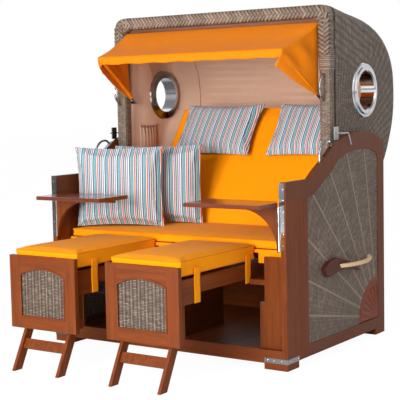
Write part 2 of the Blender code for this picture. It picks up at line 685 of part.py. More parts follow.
def turned(name, profile, steps, side, at):
    """A ring turned about an axis along X; the profile is (radius, distance from the middle of the chair)."""
    mesh = bpy.data.meshes.new(name)
    mesh.from_pydata([(radius, 0, along) for radius, along in profile],
                     [(i, (i + 1) % len(profile)) for i in range(len(profile))], [])
    obj = bpy.data.objects.new(name, mesh)
    spin = obj.modifiers.new("turn", "SCREW")
    spin.axis = "Z"
    spin.angle = 2 * pi
    spin.steps = spin.render_steps = steps
    spin.use_merge_vertices = True
    spin.merge_threshold = 0.00001
    obj.rotation_euler = (0, side * pi / 2, 0)
    obj.location = at
    return obj


# Hood: a wicker skin with solid cheeks, open at the front
HOOD_SHARES = ((0.0, 1.0), (0.218, 0.975), (0.489, 0.948), (0.708, 0.904), (0.846, 0.844), (0.937, 0.775),
               (0.986, 0.696), (1.0, 0.605), (0.997, 0.524), (0.971, 0.439), (0.916, 0.352), (0.836, 0.259),
               (0.723, 0.176), (0.572, 0.111), (0.407, 0.066), (0.241, 0.032), (0.12, 0.0))
hood_line = smooth([(HOOD_FRONT_Y + back * (HOOD_BACK_Y - HOOD_FRONT_Y),
                     HOOD_BASE_Z + up * (HOOD_ROOF_Z - HOOD_BASE_Z)) for back, up in HOOD_SHARES], 2)


def hood_region(depth, front_y, base_z):
    """The hood's side outline, moved in by depth, run out to front_y and opened down to base_z before its belly."""
    belly_y = HOOD_BELLY_Y + HOOD_SKIN - depth
    line = [point for point in inset(hood_line, -depth) if point[0] > HOOD_BELLY_Y or point[1] > PIVOT_Z * 2]
    line[0] = (HOOD_FRONT_Y, line[0][1])
    if front_y < HOOD_FRONT_Y:
        line = [(front_y, line[0][1])] + line
    return line + [(belly_y, line[-1][1]), (belly_y, base_z), (front_y, base_z)]


ahead_y = HOOD_FRONT_Y - RIM_DEPTH - OVERRUN
hood_outline = [(ahead_y, HOOD_ROOF_Z)] + hood_line + [(ahead_y, HOOD_BASE_Z)]
shell = plate("hood_shell", "x", hood_outline, -HOOD_HALF, HOOD_HALF)
rounding = shell.modifiers.new("rounding", "BEVEL")
rounding.width = HOOD_CORNER
rounding.segments = 3
rounding.limit_method = "ANGLE"
rounding.angle_limit = radians(60)
cut(shell, box("hood_front_plane", (-WIDTH, ahead_y - OVERRUN, 0), (WIDTH, HOOD_FRONT_Y, HOOD_ROOF_Z + OVERRUN)))
cheek = HOOD_HALF - HOOD_WALL
cut(shell, plate("hood_hollow", "x", hood_region(HOOD_SKIN, ahead_y - OVERRUN, HOOD_BASE_Z - HOOD_CORNER),
                 HOOD_SKIN - HOOD_HALF, HOOD_HALF - HOOD_SKIN))
for side_name, side in SIDES:
    boss = cylinder("pivot_boss_" + side_name, (side * (HOOD_HALF - OVERRUN), PIVOT_Y, PIVOT_Z),
                    (side * (FRAME_INNER_X - GAP), PIVOT_Y, PIVOT_Z), PIVOT_RADIUS)
    join(shell, boss)
lining_half = cheek - GAP
lining = plate("hood_lining", "x", hood_region(HOOD_SKIN + GAP, HOOD_FRONT_Y, HOOD_BASE_Z), -lining_half, lining_half)
cut(lining, plate("lining_hollow", "x",
                  hood_region(HOOD_SKIN + GAP + LINING_THICKNESS, ahead_y - OVERRUN, HOOD_BASE_Z - OVERRUN),
                  LINING_THICKNESS - lining_half, lining_half - LINING_THICKNESS))
room_half = lining_half - LINING_THICKNESS
PORT_RING_SHARE = 0.55
for side_name, side in SIDES:
    for part in (shell, lining):
        hole = cylinder(f"port_hole_{part.name}_{side_name}", (side * (room_half - OVERRUN), PORT_Y, PORT_Z),
                        (side * (HOOD_HALF + OVERRUN), PORT_Y, PORT_Z), PORT_RING_RADIUS + GAP, sides=PORT_STEPS)
        cut(part, hole)
finish(shell, WICKER, 0.8)
finish(lining, LINING, 0.9)
outer_face = HOOD_HALF + GAP
inner_face = room_half - GAP
port_profile = [(PORT_CLEAR_RADIUS, outer_face + PORT_RING_RISE * PORT_RING_SHARE),
                (PORT_CLEAR_RADIUS + PORT_FLANGE, outer_face + PORT_RING_RISE),
                (PORT_RING_RADIUS, outer_face + PORT_RING_RISE), (PORT_RING_RADIUS + PORT_FLANGE, outer_face + PORT_FLANGE),
                (PORT_FLANGE_RADIUS - PORT_FLANGE, outer_face + PORT_FLANGE), (PORT_FLANGE_RADIUS, outer_face),
                (PORT_RING_RADIUS, outer_face), (PORT_RING_RADIUS, inner_face), (PORT_FLANGE_RADIUS, inner_face),
                (PORT_FLANGE_RADIUS - PORT_FLANGE, inner_face - PORT_FLANGE),
                (PORT_RING_RADIUS, inner_face - PORT_FLANGE), (PORT_CLEAR_RADIUS, inner_face - PORT_RING_RISE)]
for side_name, side in SIDES:
    port = turned("porthole_" + side_name, port_profile, PORT_STEPS, side, (0, PORT_Y, PORT_Z))
    finish(port, CHROME, 0.15, 1.0)

# Rim round the hood's mouth
rim_corner = HOOD_CORNER
rim_low = HOOD_BASE_Z
outer_u = ([(HOOD_HALF, rim_low)] + arc((HOOD_HALF - rim_corner, HOOD_ROOF_Z - rim_corner), rim_corner, 0, pi / 2, 4)
           + arc((rim_corner - HOOD_HALF, HOOD_ROOF_Z - rim_corner), rim_corner, pi / 2, pi, 4)
           + [(-HOOD_HALF, rim_low)])
fillet = rim_corner - RIM_ROUNDING
inner_u = ([(-MOUTH_HALF, rim_low)] + arc((fillet - MOUTH_HALF, MOUTH_TOP - fillet), fillet, pi, pi / 2, 3)
           + arc((MOUTH_HALF - fillet, MOUTH_TOP - fillet), fillet, pi / 2, 0, 3) + [(MOUTH_HALF, rim_low)])
rim = plate("hood_rim", "y", outer_u + inner_u, HOOD_FRONT_Y - RIM_DEPTH, HOOD_FRONT_Y - GAP)
soft_edge = rim.modifiers.new("rounding", "BEVEL")
soft_edge.width = RIM_ROUNDING
soft_edge.segments = 2
soft_edge.limit_method = "ANGLE"
soft_edge.angle_limit = radians(60)
finish(rim, WICKER, 0.8)
rim_front = HOOD_FRONT_Y - RIM_DEPTH - GAP
grip_x = HOOD_HALF - RIM_WIDTH / 2
for side_name, side in SIDES:
    bow = [(side * grip_x, rim_front - GRIP_RISE * sin(pi * i / 10) ** 0.6, GRIP_Z + GRIP_LENGTH * (i / 10 - 0.5))
           for i in range(11)]
    feet = [(side * grip_x, rim_front - GRIP_STUB, z) for x, y, z in (bow[0], bow[-1])]
    bow = [bow[0], feet[0]] + bow[1:-1] + [feet[1], bow[-1]]
    finish(tube("hood_grip_" + side_name, bow, GRIP_RADIUS), CHROME, 0.15, 1.0)

# Back cushion and its board, leaning in the hood
lean = Vector((0, sin(BACK_LEAN), cos(BACK_LEAN)))
behind = Vector((0, cos(BACK_LEAN), -sin(BACK_LEAN)))
back_foot = Vector((0, BACK_BOTTOM_Y, BACK_BOTTOM_Z))


def on_back(obj, along, depth, across=0.0):
    """Places a piece that lies flat on the slope of the back, with its face to the sitter."""
    obj.matrix_world = Matrix.Translation(back_foot + along * lean + depth * behind + Vector((across, 0, 0))) @ Matrix(
        ((1, 0, 0, 0), (0, lean.y, -behind.y, 0), (0, lean.z, -behind.z, 0), (0, 0, 0, 1)))
    return obj


below_seat = (-WIDTH, -DEPTH, 0)
back = on_back(cushion("back_cushion", BACK_WIDTH, BACK_LENGTH, BACK_THICKNESS, SEAT_CROWN, SEAT_CROWN),
               BACK_LENGTH / 2, BACK_THICKNESS / 2)
cut(back, box("back_cushion_foot", below_seat, (WIDTH, DEPTH, SEAT_TOP + 2 * STRAP_THICKNESS)))
finish(back, ORANGE, 0.8)
board = on_back(box("back_board", (-BACK_WIDTH / 2, -BACK_LENGTH / 2, -BACK_BOARD_THICKNESS / 2),
                    (BACK_WIDTH / 2, BACK_LENGTH / 2, BACK_BOARD_THICKNESS / 2)),
                BACK_LENGTH / 2, BACK_THICKNESS + GAP + BACK_BOARD_THICKNESS / 2)
cut(board, box("back_board_foot", below_seat, (WIDTH, DEPTH, SEAT_TOP + OVERRUN)))
finish(board, DARK_WOOD)
NECK_SHARES = (("left", -0.190, 1.0), ("right", 0.352, 0.88))
for side_name, across_share, plumped_share in NECK_SHARES:
    neck = pillow("neck_pillow_" + side_name, NECK_WIDTH * plumped_share, NECK_HEIGHT, NECK_THICKNESS)
    turn = Matrix.Rotation(-pi / 2, 4, "X")
    neck.data.transform(turn)
    settle = NECK_SETTLE_SHARE * NECK_THICKNESS
    on_back(neck, BACK_LENGTH - NECK_FROM_TOP, settle - NECK_THICKNESS / 2 - GAP, across_share * BACK_WIDTH)
    finish(neck, STRIPED, 0.9)
pocket_low, pocket_high = span(-1, room_half - GAP - POCKET_THICKNESS, room_half - GAP)
pocket = box("magazine_pocket", (pocket_low, POCKET_Y - POCKET_WIDTH / 2, POCKET_Z),
             (pocket_high, POCKET_Y + POCKET_WIDTH / 2, POCKET_Z + POCKET_HEIGHT))
finish(pocket, LINING, 0.9)

# Loose square pillows on the seat
PILLOW_TURN = radians(23)
PILLOW_PLACES = (("front", PILLOW_FRONT_INSET, PILLOW_FRONT_SETBACK),
                 ("rear", PILLOW_REAR_INSET, PILLOW_REAR_SETBACK))
for place_name, inset_x, setback in PILLOW_PLACES:
    loose = pillow("square_pillow_" + place_name, PILLOW_WIDTH, PILLOW_HEIGHT, PILLOW_THICKNESS)
    loose.rotation_euler = (0, 0, PILLOW_TURN)
    settle = PILLOW_SETTLE_SHARE * PILLOW_HEIGHT
    loose.location = (inset_x - SEAT_WIDTH / 2, SEAT_FRONT_Y + setback,
                      SEAT_TOP + GAP + PILLOW_HEIGHT / 2 - settle)
    finish(loose, STRIPED, 0.9)

# Canopy: a bow hinged inside the hood's mouth, and the cloth stretched over it
bar_y = BOW_PIVOT_Y - BOW_REACH
bar_z = BOW_PIVOT_Z + BOW_RISE
BOW_BEND_SHARE = 0.06
half_bow = [(BOW_FRONT_HALF_WIDTH * (1 - BOW_BEND_SHARE), bar_y, bar_z),
            (BOW_FRONT_HALF_WIDTH, bar_y + BOW_REACH * BOW_BEND_SHARE, bar_z - BOW_RISE * BOW_BEND_SHARE),
            (BOW_HALF_WIDTH, BOW_PIVOT_Y, BOW_PIVOT_Z), (inner_face, BOW_PIVOT_Y, BOW_PIVOT_Z)]
bow_path = [(-x, y, z) for x, y, z in half_bow[::-1]] + half_bow
finish(tube("canopy_bow", bow_path, BOW_RADIUS), CHROME, 0.3, 1.0)

lift = BOW_RADIUS + CANOPY_THICKNESS
CANOPY_ROWS = 8
CANOPY_ACROSS = 10
CANOPY_DROPS = 4
FLAP_FRONT_SHARE = 0.16
FLAP_FOLD = 0.010
flap_back = CANOPY_BACK_Z - BOW_PIVOT_Z - lift


def canopy_point(row, column):
    """A point of the cloth: row runs from the hood to the bar, column from the left flap's hem to the right one's."""
    share = row / CANOPY_ROWS
    half = CANOPY_HALF_WIDTH + (BOW_FRONT_HALF_WIDTH + lift - CANOPY_HALF_WIDTH) * share
    y = CANOPY_BACK_Y + (bar_y - lift - CANOPY_BACK_Y) * share
    z = CANOPY_BACK_Z + (bar_z + lift - CANOPY_BACK_Z) * share - CANOPY_SAG * sin(pi * share)
    drop = flap_back * (1 - share + FLAP_FRONT_SHARE * share)
    if column < CANOPY_DROPS or column > CANOPY_DROPS + CANOPY_ACROSS:
        down = (CANOPY_DROPS - column) if column < CANOPY_DROPS else (column - CANOPY_DROPS - CANOPY_ACROSS)
        side = -1 if column < CANOPY_DROPS else 1
        down /= CANOPY_DROPS
        fold = FLAP_FOLD * sin(pi * share) * sin(2 * pi * down)
        return (side * (half + fold * (1 - share)), y - FLAP_FOLD * share * down, z - drop * down)
    across = 2 * (column - CANOPY_DROPS) / CANOPY_ACROSS - 1
    return (half * across, y, z)


def canopy_edit(shape):
    columns = CANOPY_ACROSS + 2 * CANOPY_DROPS
    grid = [[shape.verts.new(canopy_point(row, column)) for column in range(columns + 1)]
            for row in range(CANOPY_ROWS + 1)]
    front = [grid[-1][column] for column in range(CANOPY_DROPS, CANOPY_DROPS + CANOPY_ACROSS + 1)]
    hem = [shape.verts.new((vert.co.x, vert.co.y - CANOPY_THICKNESS, vert.co.z - CANOPY_VALANCE)) for vert in front]
    for above, below in zip(grid[:-1], grid[1:]):
        for i in range(columns):
            shape.faces.new((above[i], below[i], below[i + 1], above[i + 1]))
    for i in range(len(front) - 1):
        shape.faces.new((front[i], hem[i], hem[i + 1], front[i + 1]))
    bmesh.ops.recalc_face_normals(shape, faces=shape.faces)


canopy = new_object("canopy_cloth", canopy_edit)
cloth = canopy.modifiers.new("cloth", "SOLIDIFY")
cloth.thickness = CANOPY_THICKNESS
cloth.offset = 0
finish(canopy, ORANGE, 0.8)

# Swinging tables
for side_name, side in SIDES:
    top_outline = [(TABLE_INNER_X, TABLE_FRONT_Y), (TABLE_OUTER_X, TABLE_FRONT_Y), (TABLE_OUTER_X, HINGE_Y),
                   (TABLE_OUTER_X - TABLE_TAPER, TABLE_REAR_Y), (TABLE_INNER_X, TABLE_REAR_Y)]
    top = plate("table_top_" + side_name, "z", mirrored(top_outline, side), TABLE_TOP_Z - TABLE_THICKNESS, TABLE_TOP_Z)
    soft_edge = top.modifiers.new("edge", "BEVEL")
    soft_edge.width = LEAF_THICKNESS
    soft_edge.limit_method = "ANGLE"
    finish(top, WOOD)
    under = TABLE_TOP_Z - TABLE_THICKNESS - GAP
    low, high = span(side, TABLE_INNER_X + BATTEN_WIDTH, TABLE_OUTER_X)
    bracket_outline = [(TABLE_OUTER_X, under), (TABLE_OUTER_X, under - BRACKET_HEIGHT)]
    bracket_outline += arc((TABLE_OUTER_X - BRACKET_LENGTH, under - BRACKET_HEIGHT), BRACKET_LENGTH, radians(15),
                           pi / 2 - radians(8), 8, (BRACKET_HEIGHT - BATTEN_THICKNESS) / BRACKET_LENGTH)
    bracket_outline += [(TABLE_INNER_X + BATTEN_WIDTH, under - BATTEN_THICKNESS), (TABLE_INNER_X + BATTEN_WIDTH, under)]
    bracket = plate("table_bracket_" + side_name, "y", mirrored(bracket_outline, side), HINGE_Y - HINGE_RADIUS,
                    HINGE_Y - HINGE_RADIUS + BRACKET_THICKNESS)
    finish(bracket, WOOD)

    hinge_low, hinge_high = HINGE_BASE_Z, HINGE_BASE_Z + HINGE_LENGTH
    hinge = cylinder("table_hinge_" + side_name, (side * HINGE_X, HINGE_Y, hinge_low),
                     (side * HINGE_X, HINGE_Y, hinge_high), HINGE_RADIUS, sides=12)
    low, high = span(side, HINGE_X, FRAME_INNER_X + LEAF_WIDTH)
    join(hinge, box("hinge_leaf_" + side_name, (low, FRONT_Y - GAP - LEAF_THICKNESS, hinge_low),
                    (high, FRONT_Y - GAP, LEAF_TOP_Z)))
    finish(hinge, CHROME, 0.3, 1.0)

# Footrests: a front panel with a wicker infill, a box that runs under the seat, a cushion and folding legs
for side_name, side in SIDES:
    centre = side * FOOTREST_CENTRE_X
    half = PANEL_WIDTH / 2
    panel = box("footrest_panel_" + side_name, (centre - half, PANEL_FRONT_Y, PANEL_BASE),
                (centre + half, PANEL_REAR_Y, PANEL_TOP))
    half_opening = half - PANEL_STILE
    opening_top_z = PANEL_TOP - PANEL_TOP_RAIL - PANEL_ARCH_RISE
    opening_base_z = PANEL_BASE + PANEL_BOTTOM_RAIL

    def opening(clear):
        arch = [(centre + (half_opening - clear) * (1 - 2 * i / 10),
                 opening_top_z - clear + PANEL_ARCH_RISE * sin(pi * i / 10) ** 0.8) for i in range(11)]
        return [(centre - half_opening + clear, opening_base_z + clear),
                (centre + half_opening - clear, opening_base_z + clear)] + arch
    cut(panel, plate("panel_opening_" + side_name, "y", opening(0), PANEL_FRONT_Y - OVERRUN, PANEL_REAR_Y + OVERRUN))
    finish(panel, WOOD)
    middle = (PANEL_FRONT_Y + PANEL_REAR_Y) / 2
    finish(plate("footrest_infill_" + side_name, "y", opening(GAP), middle - INFILL_THICKNESS / 2,
                 middle + INFILL_THICKNESS / 2), WICKER, 0.8)

    start_y = PANEL_REAR_Y + GAP
    end_y = start_y + BOX_LENGTH
    rail_outline = [(start_y, BOX_TOP), (start_y, BOX_TOP - BOX_DEEP),
                    (start_y + BOX_DEEP_LENGTH - OVERRUN, BOX_TOP - BOX_DEEP),
                    (start_y + BOX_DEEP_LENGTH, BOX_TOP - BOX_SHALLOW), (end_y, BOX_TOP - BOX_SHALLOW), (end_y, BOX_TOP)]
    left_x = centre - BOX_HALF_WIDTH
    right_x = centre + BOX_HALF_WIDTH
    carriage = plate("footrest_box_" + side_name, "x", rail_outline, left_x, left_x + BOX_BOARD)
    join(carriage, plate("far_rail_" + side_name, "x", rail_outline, right_x - BOX_BOARD, right_x))
    join(carriage, box("deck_" + side_name, (left_x + BOX_BOARD / 2, start_y, BOX_TOP - DECK_THICKNESS),
                       (right_x - BOX_BOARD / 2, end_y - GAP, BOX_TOP - GAP)))
    join(carriage, box("tail_" + side_name, (left_x + BOX_BOARD / 2, end_y - BOX_BOARD, BOX_TOP - BOX_SHALLOW + GAP),
                       (right_x - BOX_BOARD / 2, end_y - 2 * GAP, BOX_TOP - 2 * GAP)))
    for edge_side in (-1, 1):
        hanger_x = centre + edge_side * HANGER_OFFSET
        join(carriage, box(f"hanger_{side_name}_{edge_side}",
                           (hanger_x - HANGER_THICKNESS / 2, start_y + GAP, HANGER_BASE),
                           (hanger_x + HANGER_THICKNESS / 2, start_y + HANGER_DEPTH, BOX_TOP - DECK_THICKNESS / 2)))
    finish(carriage, WOOD)

    rest = cushion("footrest_cushion_" + side_name, 2 * REST_CUSHION_HALF_WIDTH, REST_CUSHION_LENGTH,
                   REST_CUSHION_HEIGHT, REST_CROWN, REST_CROWN)
    rest.location = (centre, start_y + REST_CUSHION_LENGTH / 2, BOX_TOP + GAP + REST_CUSHION_HEIGHT / 2)
    finish(rest, ORANGE, 0.8)

    foot_y = LEG_PIVOT_Y - LEG_PIVOT_Z * sin(LEG_LEAN) / cos(LEG_LEAN)
    level_half = LEG_WIDTH / 2 / cos(LEG_LEAN)
    round_end = arc((LEG_PIVOT_Y, LEG_PIVOT_Z), LEG_WIDTH / 2, -LEG_LEAN, pi - LEG_LEAN, 6)
    leg_outline = [(foot_y - level_half, 0), (foot_y + level_half, 0)] + round_end
    legs = None
    for edge_side in (-1, 1):
        x = centre + edge_side * LEG_SPREAD / 2
        leg = plate(f"leg_{side_name}_{edge_side}", "x", leg_outline, x - LEG_THICKNESS / 2, x + LEG_THICKNESS / 2)
        pin = cylinder(f"leg_pin_{side_name}_{edge_side}", (x, LEG_PIVOT_Y, LEG_PIVOT_Z),
                       (centre + edge_side * (HANGER_OFFSET - HANGER_THICKNESS / 2 - GAP), LEG_PIVOT_Y, LEG_PIVOT_Z),
                       PIN_RADIUS, sides=12)
        if legs is None:
            legs = leg
            legs.name = "leg_frame_" + side_name
        else:
            join(legs, leg)
        join(legs, pin)
    bar_mid = foot_y + CROSSBAR_Z * sin(LEG_LEAN) / cos(LEG_LEAN)
    crossbar = box("crossbar_" + side_name, (-LEG_SPREAD / 2, -CROSSBAR_THICKNESS / 2, -CROSSBAR_WIDTH / 2),
                   (LEG_SPREAD / 2, CROSSBAR_THICKNESS / 2, CROSSBAR_WIDTH / 2))
    crossbar.location = (centre, bar_mid, CROSSBAR_Z)
    crossbar.rotation_euler = (-LEG_LEAN, 0, 0)
    join(legs, crossbar)
    finish(legs, WOOD)


def arm_top(y):
    """The height of the arm rail's upper edge at a distance along the chair."""
    for (y0, z0), (y1, z1) in zip(arch_top[:-1], arch_top[1:]):
        if y0 <= y <= y1:
            return z0 + (z1 - z0) * (y - y0) / (y1 - y0)
    return ARM_HEIGHT


# Chrome loops, latch plates and recline levers on the arms
for side_name, side in SIDES:
    x = side * (HALF_WIDTH - BOARD / 2)
    front = Vector((0, LOOP_FRONT_Y, arm_top(LOOP_FRONT_Y)))
    rear = Vector((0, LOOP_REAR_Y, arm_top(LOOP_REAR_Y)))
    slope = (rear - front).normalized()
    away = Vector((0, -slope.z, slope.y))
    stand = LOOP_RADIUS * 0.75 + GAP
    loop_path = []
    for i in range(11):
        share = i / 10
        point = front.lerp(rear, share) + away * (stand + LOOP_RISE * sin(pi * share) ** 0.5)
        loop_path.append((x, point.y, point.z))
    loop = tube("loop_rod_" + side_name, loop_path, LOOP_RADIUS)
    plate_base = arm_top(PLATE_Y + PLATE_WIDTH / 2) + GAP
    low, high = span(side, HALF_WIDTH - BOARD / 2, HALF_WIDTH - BOARD / 2 + PLATE_THICKNESS)
    lever_y = PLATE_Y
    lever_z = plate_base + PLATE_HEIGHT / 2
    latch = box("latch_plate_" + side_name, (low, PLATE_Y - PLATE_WIDTH / 2, plate_base),
                (high, PLATE_Y + PLATE_WIDTH / 2, plate_base + PLATE_HEIGHT))
    strip_places = [LOOP_FRONT_Y - LOOP_RADIUS] + [y for y, z in arch_top if LOOP_FRONT_Y < y < PLATE_Y]
    strip_places += [PLATE_Y + PLATE_WIDTH / 2]
    strip_outline = [(y, arm_top(y) + GAP) for y in strip_places]
    strip_outline += [(y, arm_top(y) + GAP + LOOP_RADIUS / 2) for y in strip_places[::-1]]
    strip = plate("arm_loop_" + side_name, "x", strip_outline, x - LOOP_RADIUS, x + LOOP_RADIUS)
    join(join(strip, loop), latch)
    finish(strip, CHROME, 0.2, 1.0)
    stand_x = HALF_WIDTH + LEVER_STAND
    lever = tube("recline_lever_" + side_name,
                 [(side * (HALF_WIDTH - BOARD / 2 + PLATE_THICKNESS + GAP), lever_y, lever_z),
                  (side * stand_x, lever_y, lever_z), (side * stand_x, lever_y + LEVER_LENGTH, lever_z),
                  (side * stand_x, lever_y + LEVER_LENGTH + LEVER_DROP / 2, lever_z - LEVER_DROP)], LEVER_RADIUS)
    finish(lever, CHROME, 0.2, 1.0)

# Round pieces are shaded smooth, with their corners kept sharp
SHARP_TURN = radians(35)
SQUARE_PIECES = ("front_post", "floor_board", "face_board", "seat_board", "back_board")
for obj in chair.objects:
    if not obj.name.startswith(SQUARE_PIECES):
        obj.data.shade_smooth()
        if "soften" not in obj.modifiers:
            obj.data.set_sharp_from_angle(angle=SHARP_TURN)


def hang(name, place, pieces, carrier=None):
    """Puts pieces that move together under an empty on their joint's axis, and that under its carrier's axis."""
    axis = bpy.data.objects.new(name, None)
    axis.location = place
    chair.objects.link(axis)
    for obj in pieces:
        obj.parent = axis
        obj.matrix_parent_inverse = Matrix.Translation(place).inverted()
    if carrier:
        axis.parent = carrier[0]
        axis.matrix_parent_inverse = Matrix.Translation(carrier[1]).inverted()
    return axis, place


def pieces_named(*starts):
    return [obj for obj in chair.objects if obj.type == "MESH" and obj.name.startswith(starts)]


# The joints' axes, so that a turned or slid empty takes its pieces with it
hood_axis = hang("hood_recline_axis", (0, PIVOT_Y, PIVOT_Z),
                 pieces_named("hood_", "porthole", "back_board", "back_cushion", "neck_pillow", "magazine_pocket"))
hang("canopy_fold_axis", (0, BOW_PIVOT_Y, BOW_PIVOT_Z), pieces_named("canopy_"), hood_axis)
for side_name, side in SIDES:
    hang(f"table_{side_name}_swing_axis", (side * HINGE_X, HINGE_Y, HINGE_BASE_Z + HINGE_LENGTH / 2),
         pieces_named("table_top_" + side_name, "table_bracket_" + side_name))
    centre = side * FOOTREST_CENTRE_X
    slide = hang(f"footrest_{side_name}_slide_axis", (centre, PANEL_REAR_Y, BOX_TOP),
                 pieces_named(*(f"footrest_{piece}_{side_name}" for piece in ("panel", "infill", "box", "cushion"))))
    hang(f"legs_{side_name}_fold_axis", (centre, LEG_PIVOT_Y, LEG_PIVOT_Z), pieces_named("leg_frame_" + side_name),
         slide)
    hang(f"lever_{side_name}_turn_axis", (side * (HALF_WIDTH - BOARD / 2 + PLATE_THICKNESS), lever_y, lever_z),
         pieces_named("recline_lever_" + side_name))
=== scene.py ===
from math import atan2, cos, hypot, pi, radians, sin

import bmesh
import bpy
from mathutils import Matrix, Vector


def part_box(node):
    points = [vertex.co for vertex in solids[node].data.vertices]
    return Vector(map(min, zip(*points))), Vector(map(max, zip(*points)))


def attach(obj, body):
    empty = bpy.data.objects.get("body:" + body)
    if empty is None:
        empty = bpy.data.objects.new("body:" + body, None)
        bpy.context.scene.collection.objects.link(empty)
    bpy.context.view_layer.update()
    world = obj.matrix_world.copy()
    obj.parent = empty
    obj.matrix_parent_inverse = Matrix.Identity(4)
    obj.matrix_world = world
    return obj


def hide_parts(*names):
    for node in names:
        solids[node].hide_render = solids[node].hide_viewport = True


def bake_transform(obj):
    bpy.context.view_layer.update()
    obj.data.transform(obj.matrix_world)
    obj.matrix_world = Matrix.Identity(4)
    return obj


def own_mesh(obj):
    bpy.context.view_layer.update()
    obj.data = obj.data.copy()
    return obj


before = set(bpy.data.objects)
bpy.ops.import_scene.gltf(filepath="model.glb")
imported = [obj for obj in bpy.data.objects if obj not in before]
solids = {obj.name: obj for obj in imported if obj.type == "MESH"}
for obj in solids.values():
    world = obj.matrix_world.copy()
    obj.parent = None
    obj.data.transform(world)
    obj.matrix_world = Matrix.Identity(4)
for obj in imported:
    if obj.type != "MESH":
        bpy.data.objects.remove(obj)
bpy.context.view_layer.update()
SIDES = (("left", -1), ("right", 1))

# The studio. A pale floor and a white surround, with one wide soft lamp in front and a weaker one
# on the right, and the camera where the photograph was taken from, five and a half metres off and
# at chest height.
VIEW_PLACE = (3.032, -4.564, 1.178)
VIEW_TURN = 0.6031
VIEW_DIP = 0.0908
VIEW_ROLL = -0.0208
VIEW_LENS = 100.54
FLOOR_SIZE = 60.0
FLOOR_DARK = (0.93, 0.93, 0.93, 1.0)
FLOOR_PALE = (0.95, 0.95, 0.95, 1.0)
FLOOR_GLOW = 1.06
GLOW_SHARE = 0.90
SURROUND_LIGHT = 0.42
WHITE = (1.0, 1.0, 1.0, 1.0)


def added(name, data):
    made = bpy.data.objects.new(name, data)
    bpy.context.scene.collection.objects.link(made)
    return made


def placed(right, up, out, point):
    """Where a thing stands whose X, Y and Z run along three headings from a point."""
    place = Matrix((right, up, out)).transposed().to_4x4()
    place.translation = point
    return place


camera = added("photo_camera", bpy.data.cameras.new("photo_camera"))
camera.data.sensor_width = 36.0
camera.data.lens = VIEW_LENS
ahead = Vector((-sin(VIEW_TURN) * cos(VIEW_DIP), cos(VIEW_TURN) * cos(VIEW_DIP), -sin(VIEW_DIP)))
level = Vector((cos(VIEW_TURN), sin(VIEW_TURN), 0.0))
upright = level.cross(ahead)
across = cos(VIEW_ROLL) * level + sin(VIEW_ROLL) * upright
upward = -sin(VIEW_ROLL) * level + cos(VIEW_ROLL) * upright
camera.matrix_world = placed(across, upward, -ahead, VIEW_PLACE)
bpy.context.scene.camera = camera
bpy.context.scene.view_settings.view_transform = "Standard"


def lamp(name, place, aim, size, watts):
    light = bpy.data.lights.new(name, "AREA")
    light.shape = "SQUARE"
    light.size = size
    light.energy = watts
    made = added(name, light)
    made.location = place
    made.rotation_euler = (Vector(aim) - Vector(place)).to_track_quat("-Z", "Y").to_euler()


lamp("front_lamp", (0.5, -5.6, 1.5), (0.0, 0.0, 0.9), 2.4, 330)
lamp("right_lamp", (4.6, -0.6, 2.6), (0.3, 0.1, 0.8), 2.2, 26)


def nodes_of(owner):
    owner.use_nodes = True
    owner.node_tree.nodes.clear()
    return owner.node_tree


def feed(socket, value):
    if isinstance(value, bpy.types.NodeSocket):
        socket.id_data.links.new(value, socket)
    else:
        socket.default_value = value


def place_node(tree, kind, feeds=None, **settings):
    """A node with its settings made and its inputs fed, each by title or number."""
    made = tree.nodes.new(kind)
    for name, value in settings.items():
        setattr(made, name, value)
    for title, value in (feeds or {}).items():
        feed(made.inputs[title], value)
    return made


def sum_up(tree, operation, *values):
    return place_node(tree, "ShaderNodeMath", dict(enumerate(values)), operation=operation).outputs[0]


def own_place(tree):
    return place_node(tree, "ShaderNodeTexCoord").outputs["Object"]


def noise(tree, vector, scale=1.0, detail=2.0, roughness=0.5, distortion=0.0):
    return place_node(tree, "ShaderNodeTexNoise", {
        "Vector": vector, "Scale": scale, "Detail": detail, "Roughness": roughness,
        "Distortion": distortion}).outputs[0]


def stretched(tree, vector, scale, turn=(0.0, 0.0, 0.0)):
    return place_node(tree, "ShaderNodeMapping", {
        "Vector": vector, "Scale": scale, "Rotation": turn}).outputs[0]


def spread(tree, value, low, high, to_low=0.0, to_high=1.0):
    return place_node(tree, "ShaderNodeMapRange", {
        "Value": value, "From Min": low, "From Max": high, "To Min": to_low,
        "To Max": to_high}).outputs["Result"]


def mixed(tree, share, first, second):
    return place_node(tree, "ShaderNodeMix", {0: share, 6: first, 7: second}, data_type="RGBA").outputs[2]


def axes(tree, vector):
    return place_node(tree, "ShaderNodeSeparateXYZ", {0: vector}).outputs


def srgb(red, green, blue):
    share = [v / 255 for v in (red, green, blue)]
    return tuple(s / 12.92 if s <= 0.04045 else ((s + 0.055) / 1.055) ** 2.4 for s in share) + (1.0,)


surround = bpy.data.worlds.new("white_surround")
bpy.context.scene.world = surround
tree = nodes_of(surround)
rays = place_node(tree, "ShaderNodeLightPath").outputs
seen = sum_up(tree, "MAXIMUM", rays["Is Camera Ray"], rays["Is Transmission Ray"])
seen = sum_up(tree, "MAXIMUM", seen, rays["Is Glossy Ray"])
sky = place_node(tree, "ShaderNodeBackground", {
    "Color": WHITE, "Strength": spread(tree, seen, 0.0, 1.0, SURROUND_LIGHT, 1.0)})
place_node(tree, "ShaderNodeOutputWorld", {"Surface": sky.outputs[0]})


def all_off():
    if bpy.context.mode != "OBJECT":
        bpy.ops.object.mode_set(mode="OBJECT")
    bpy.ops.object.select_all(action="DESELECT")


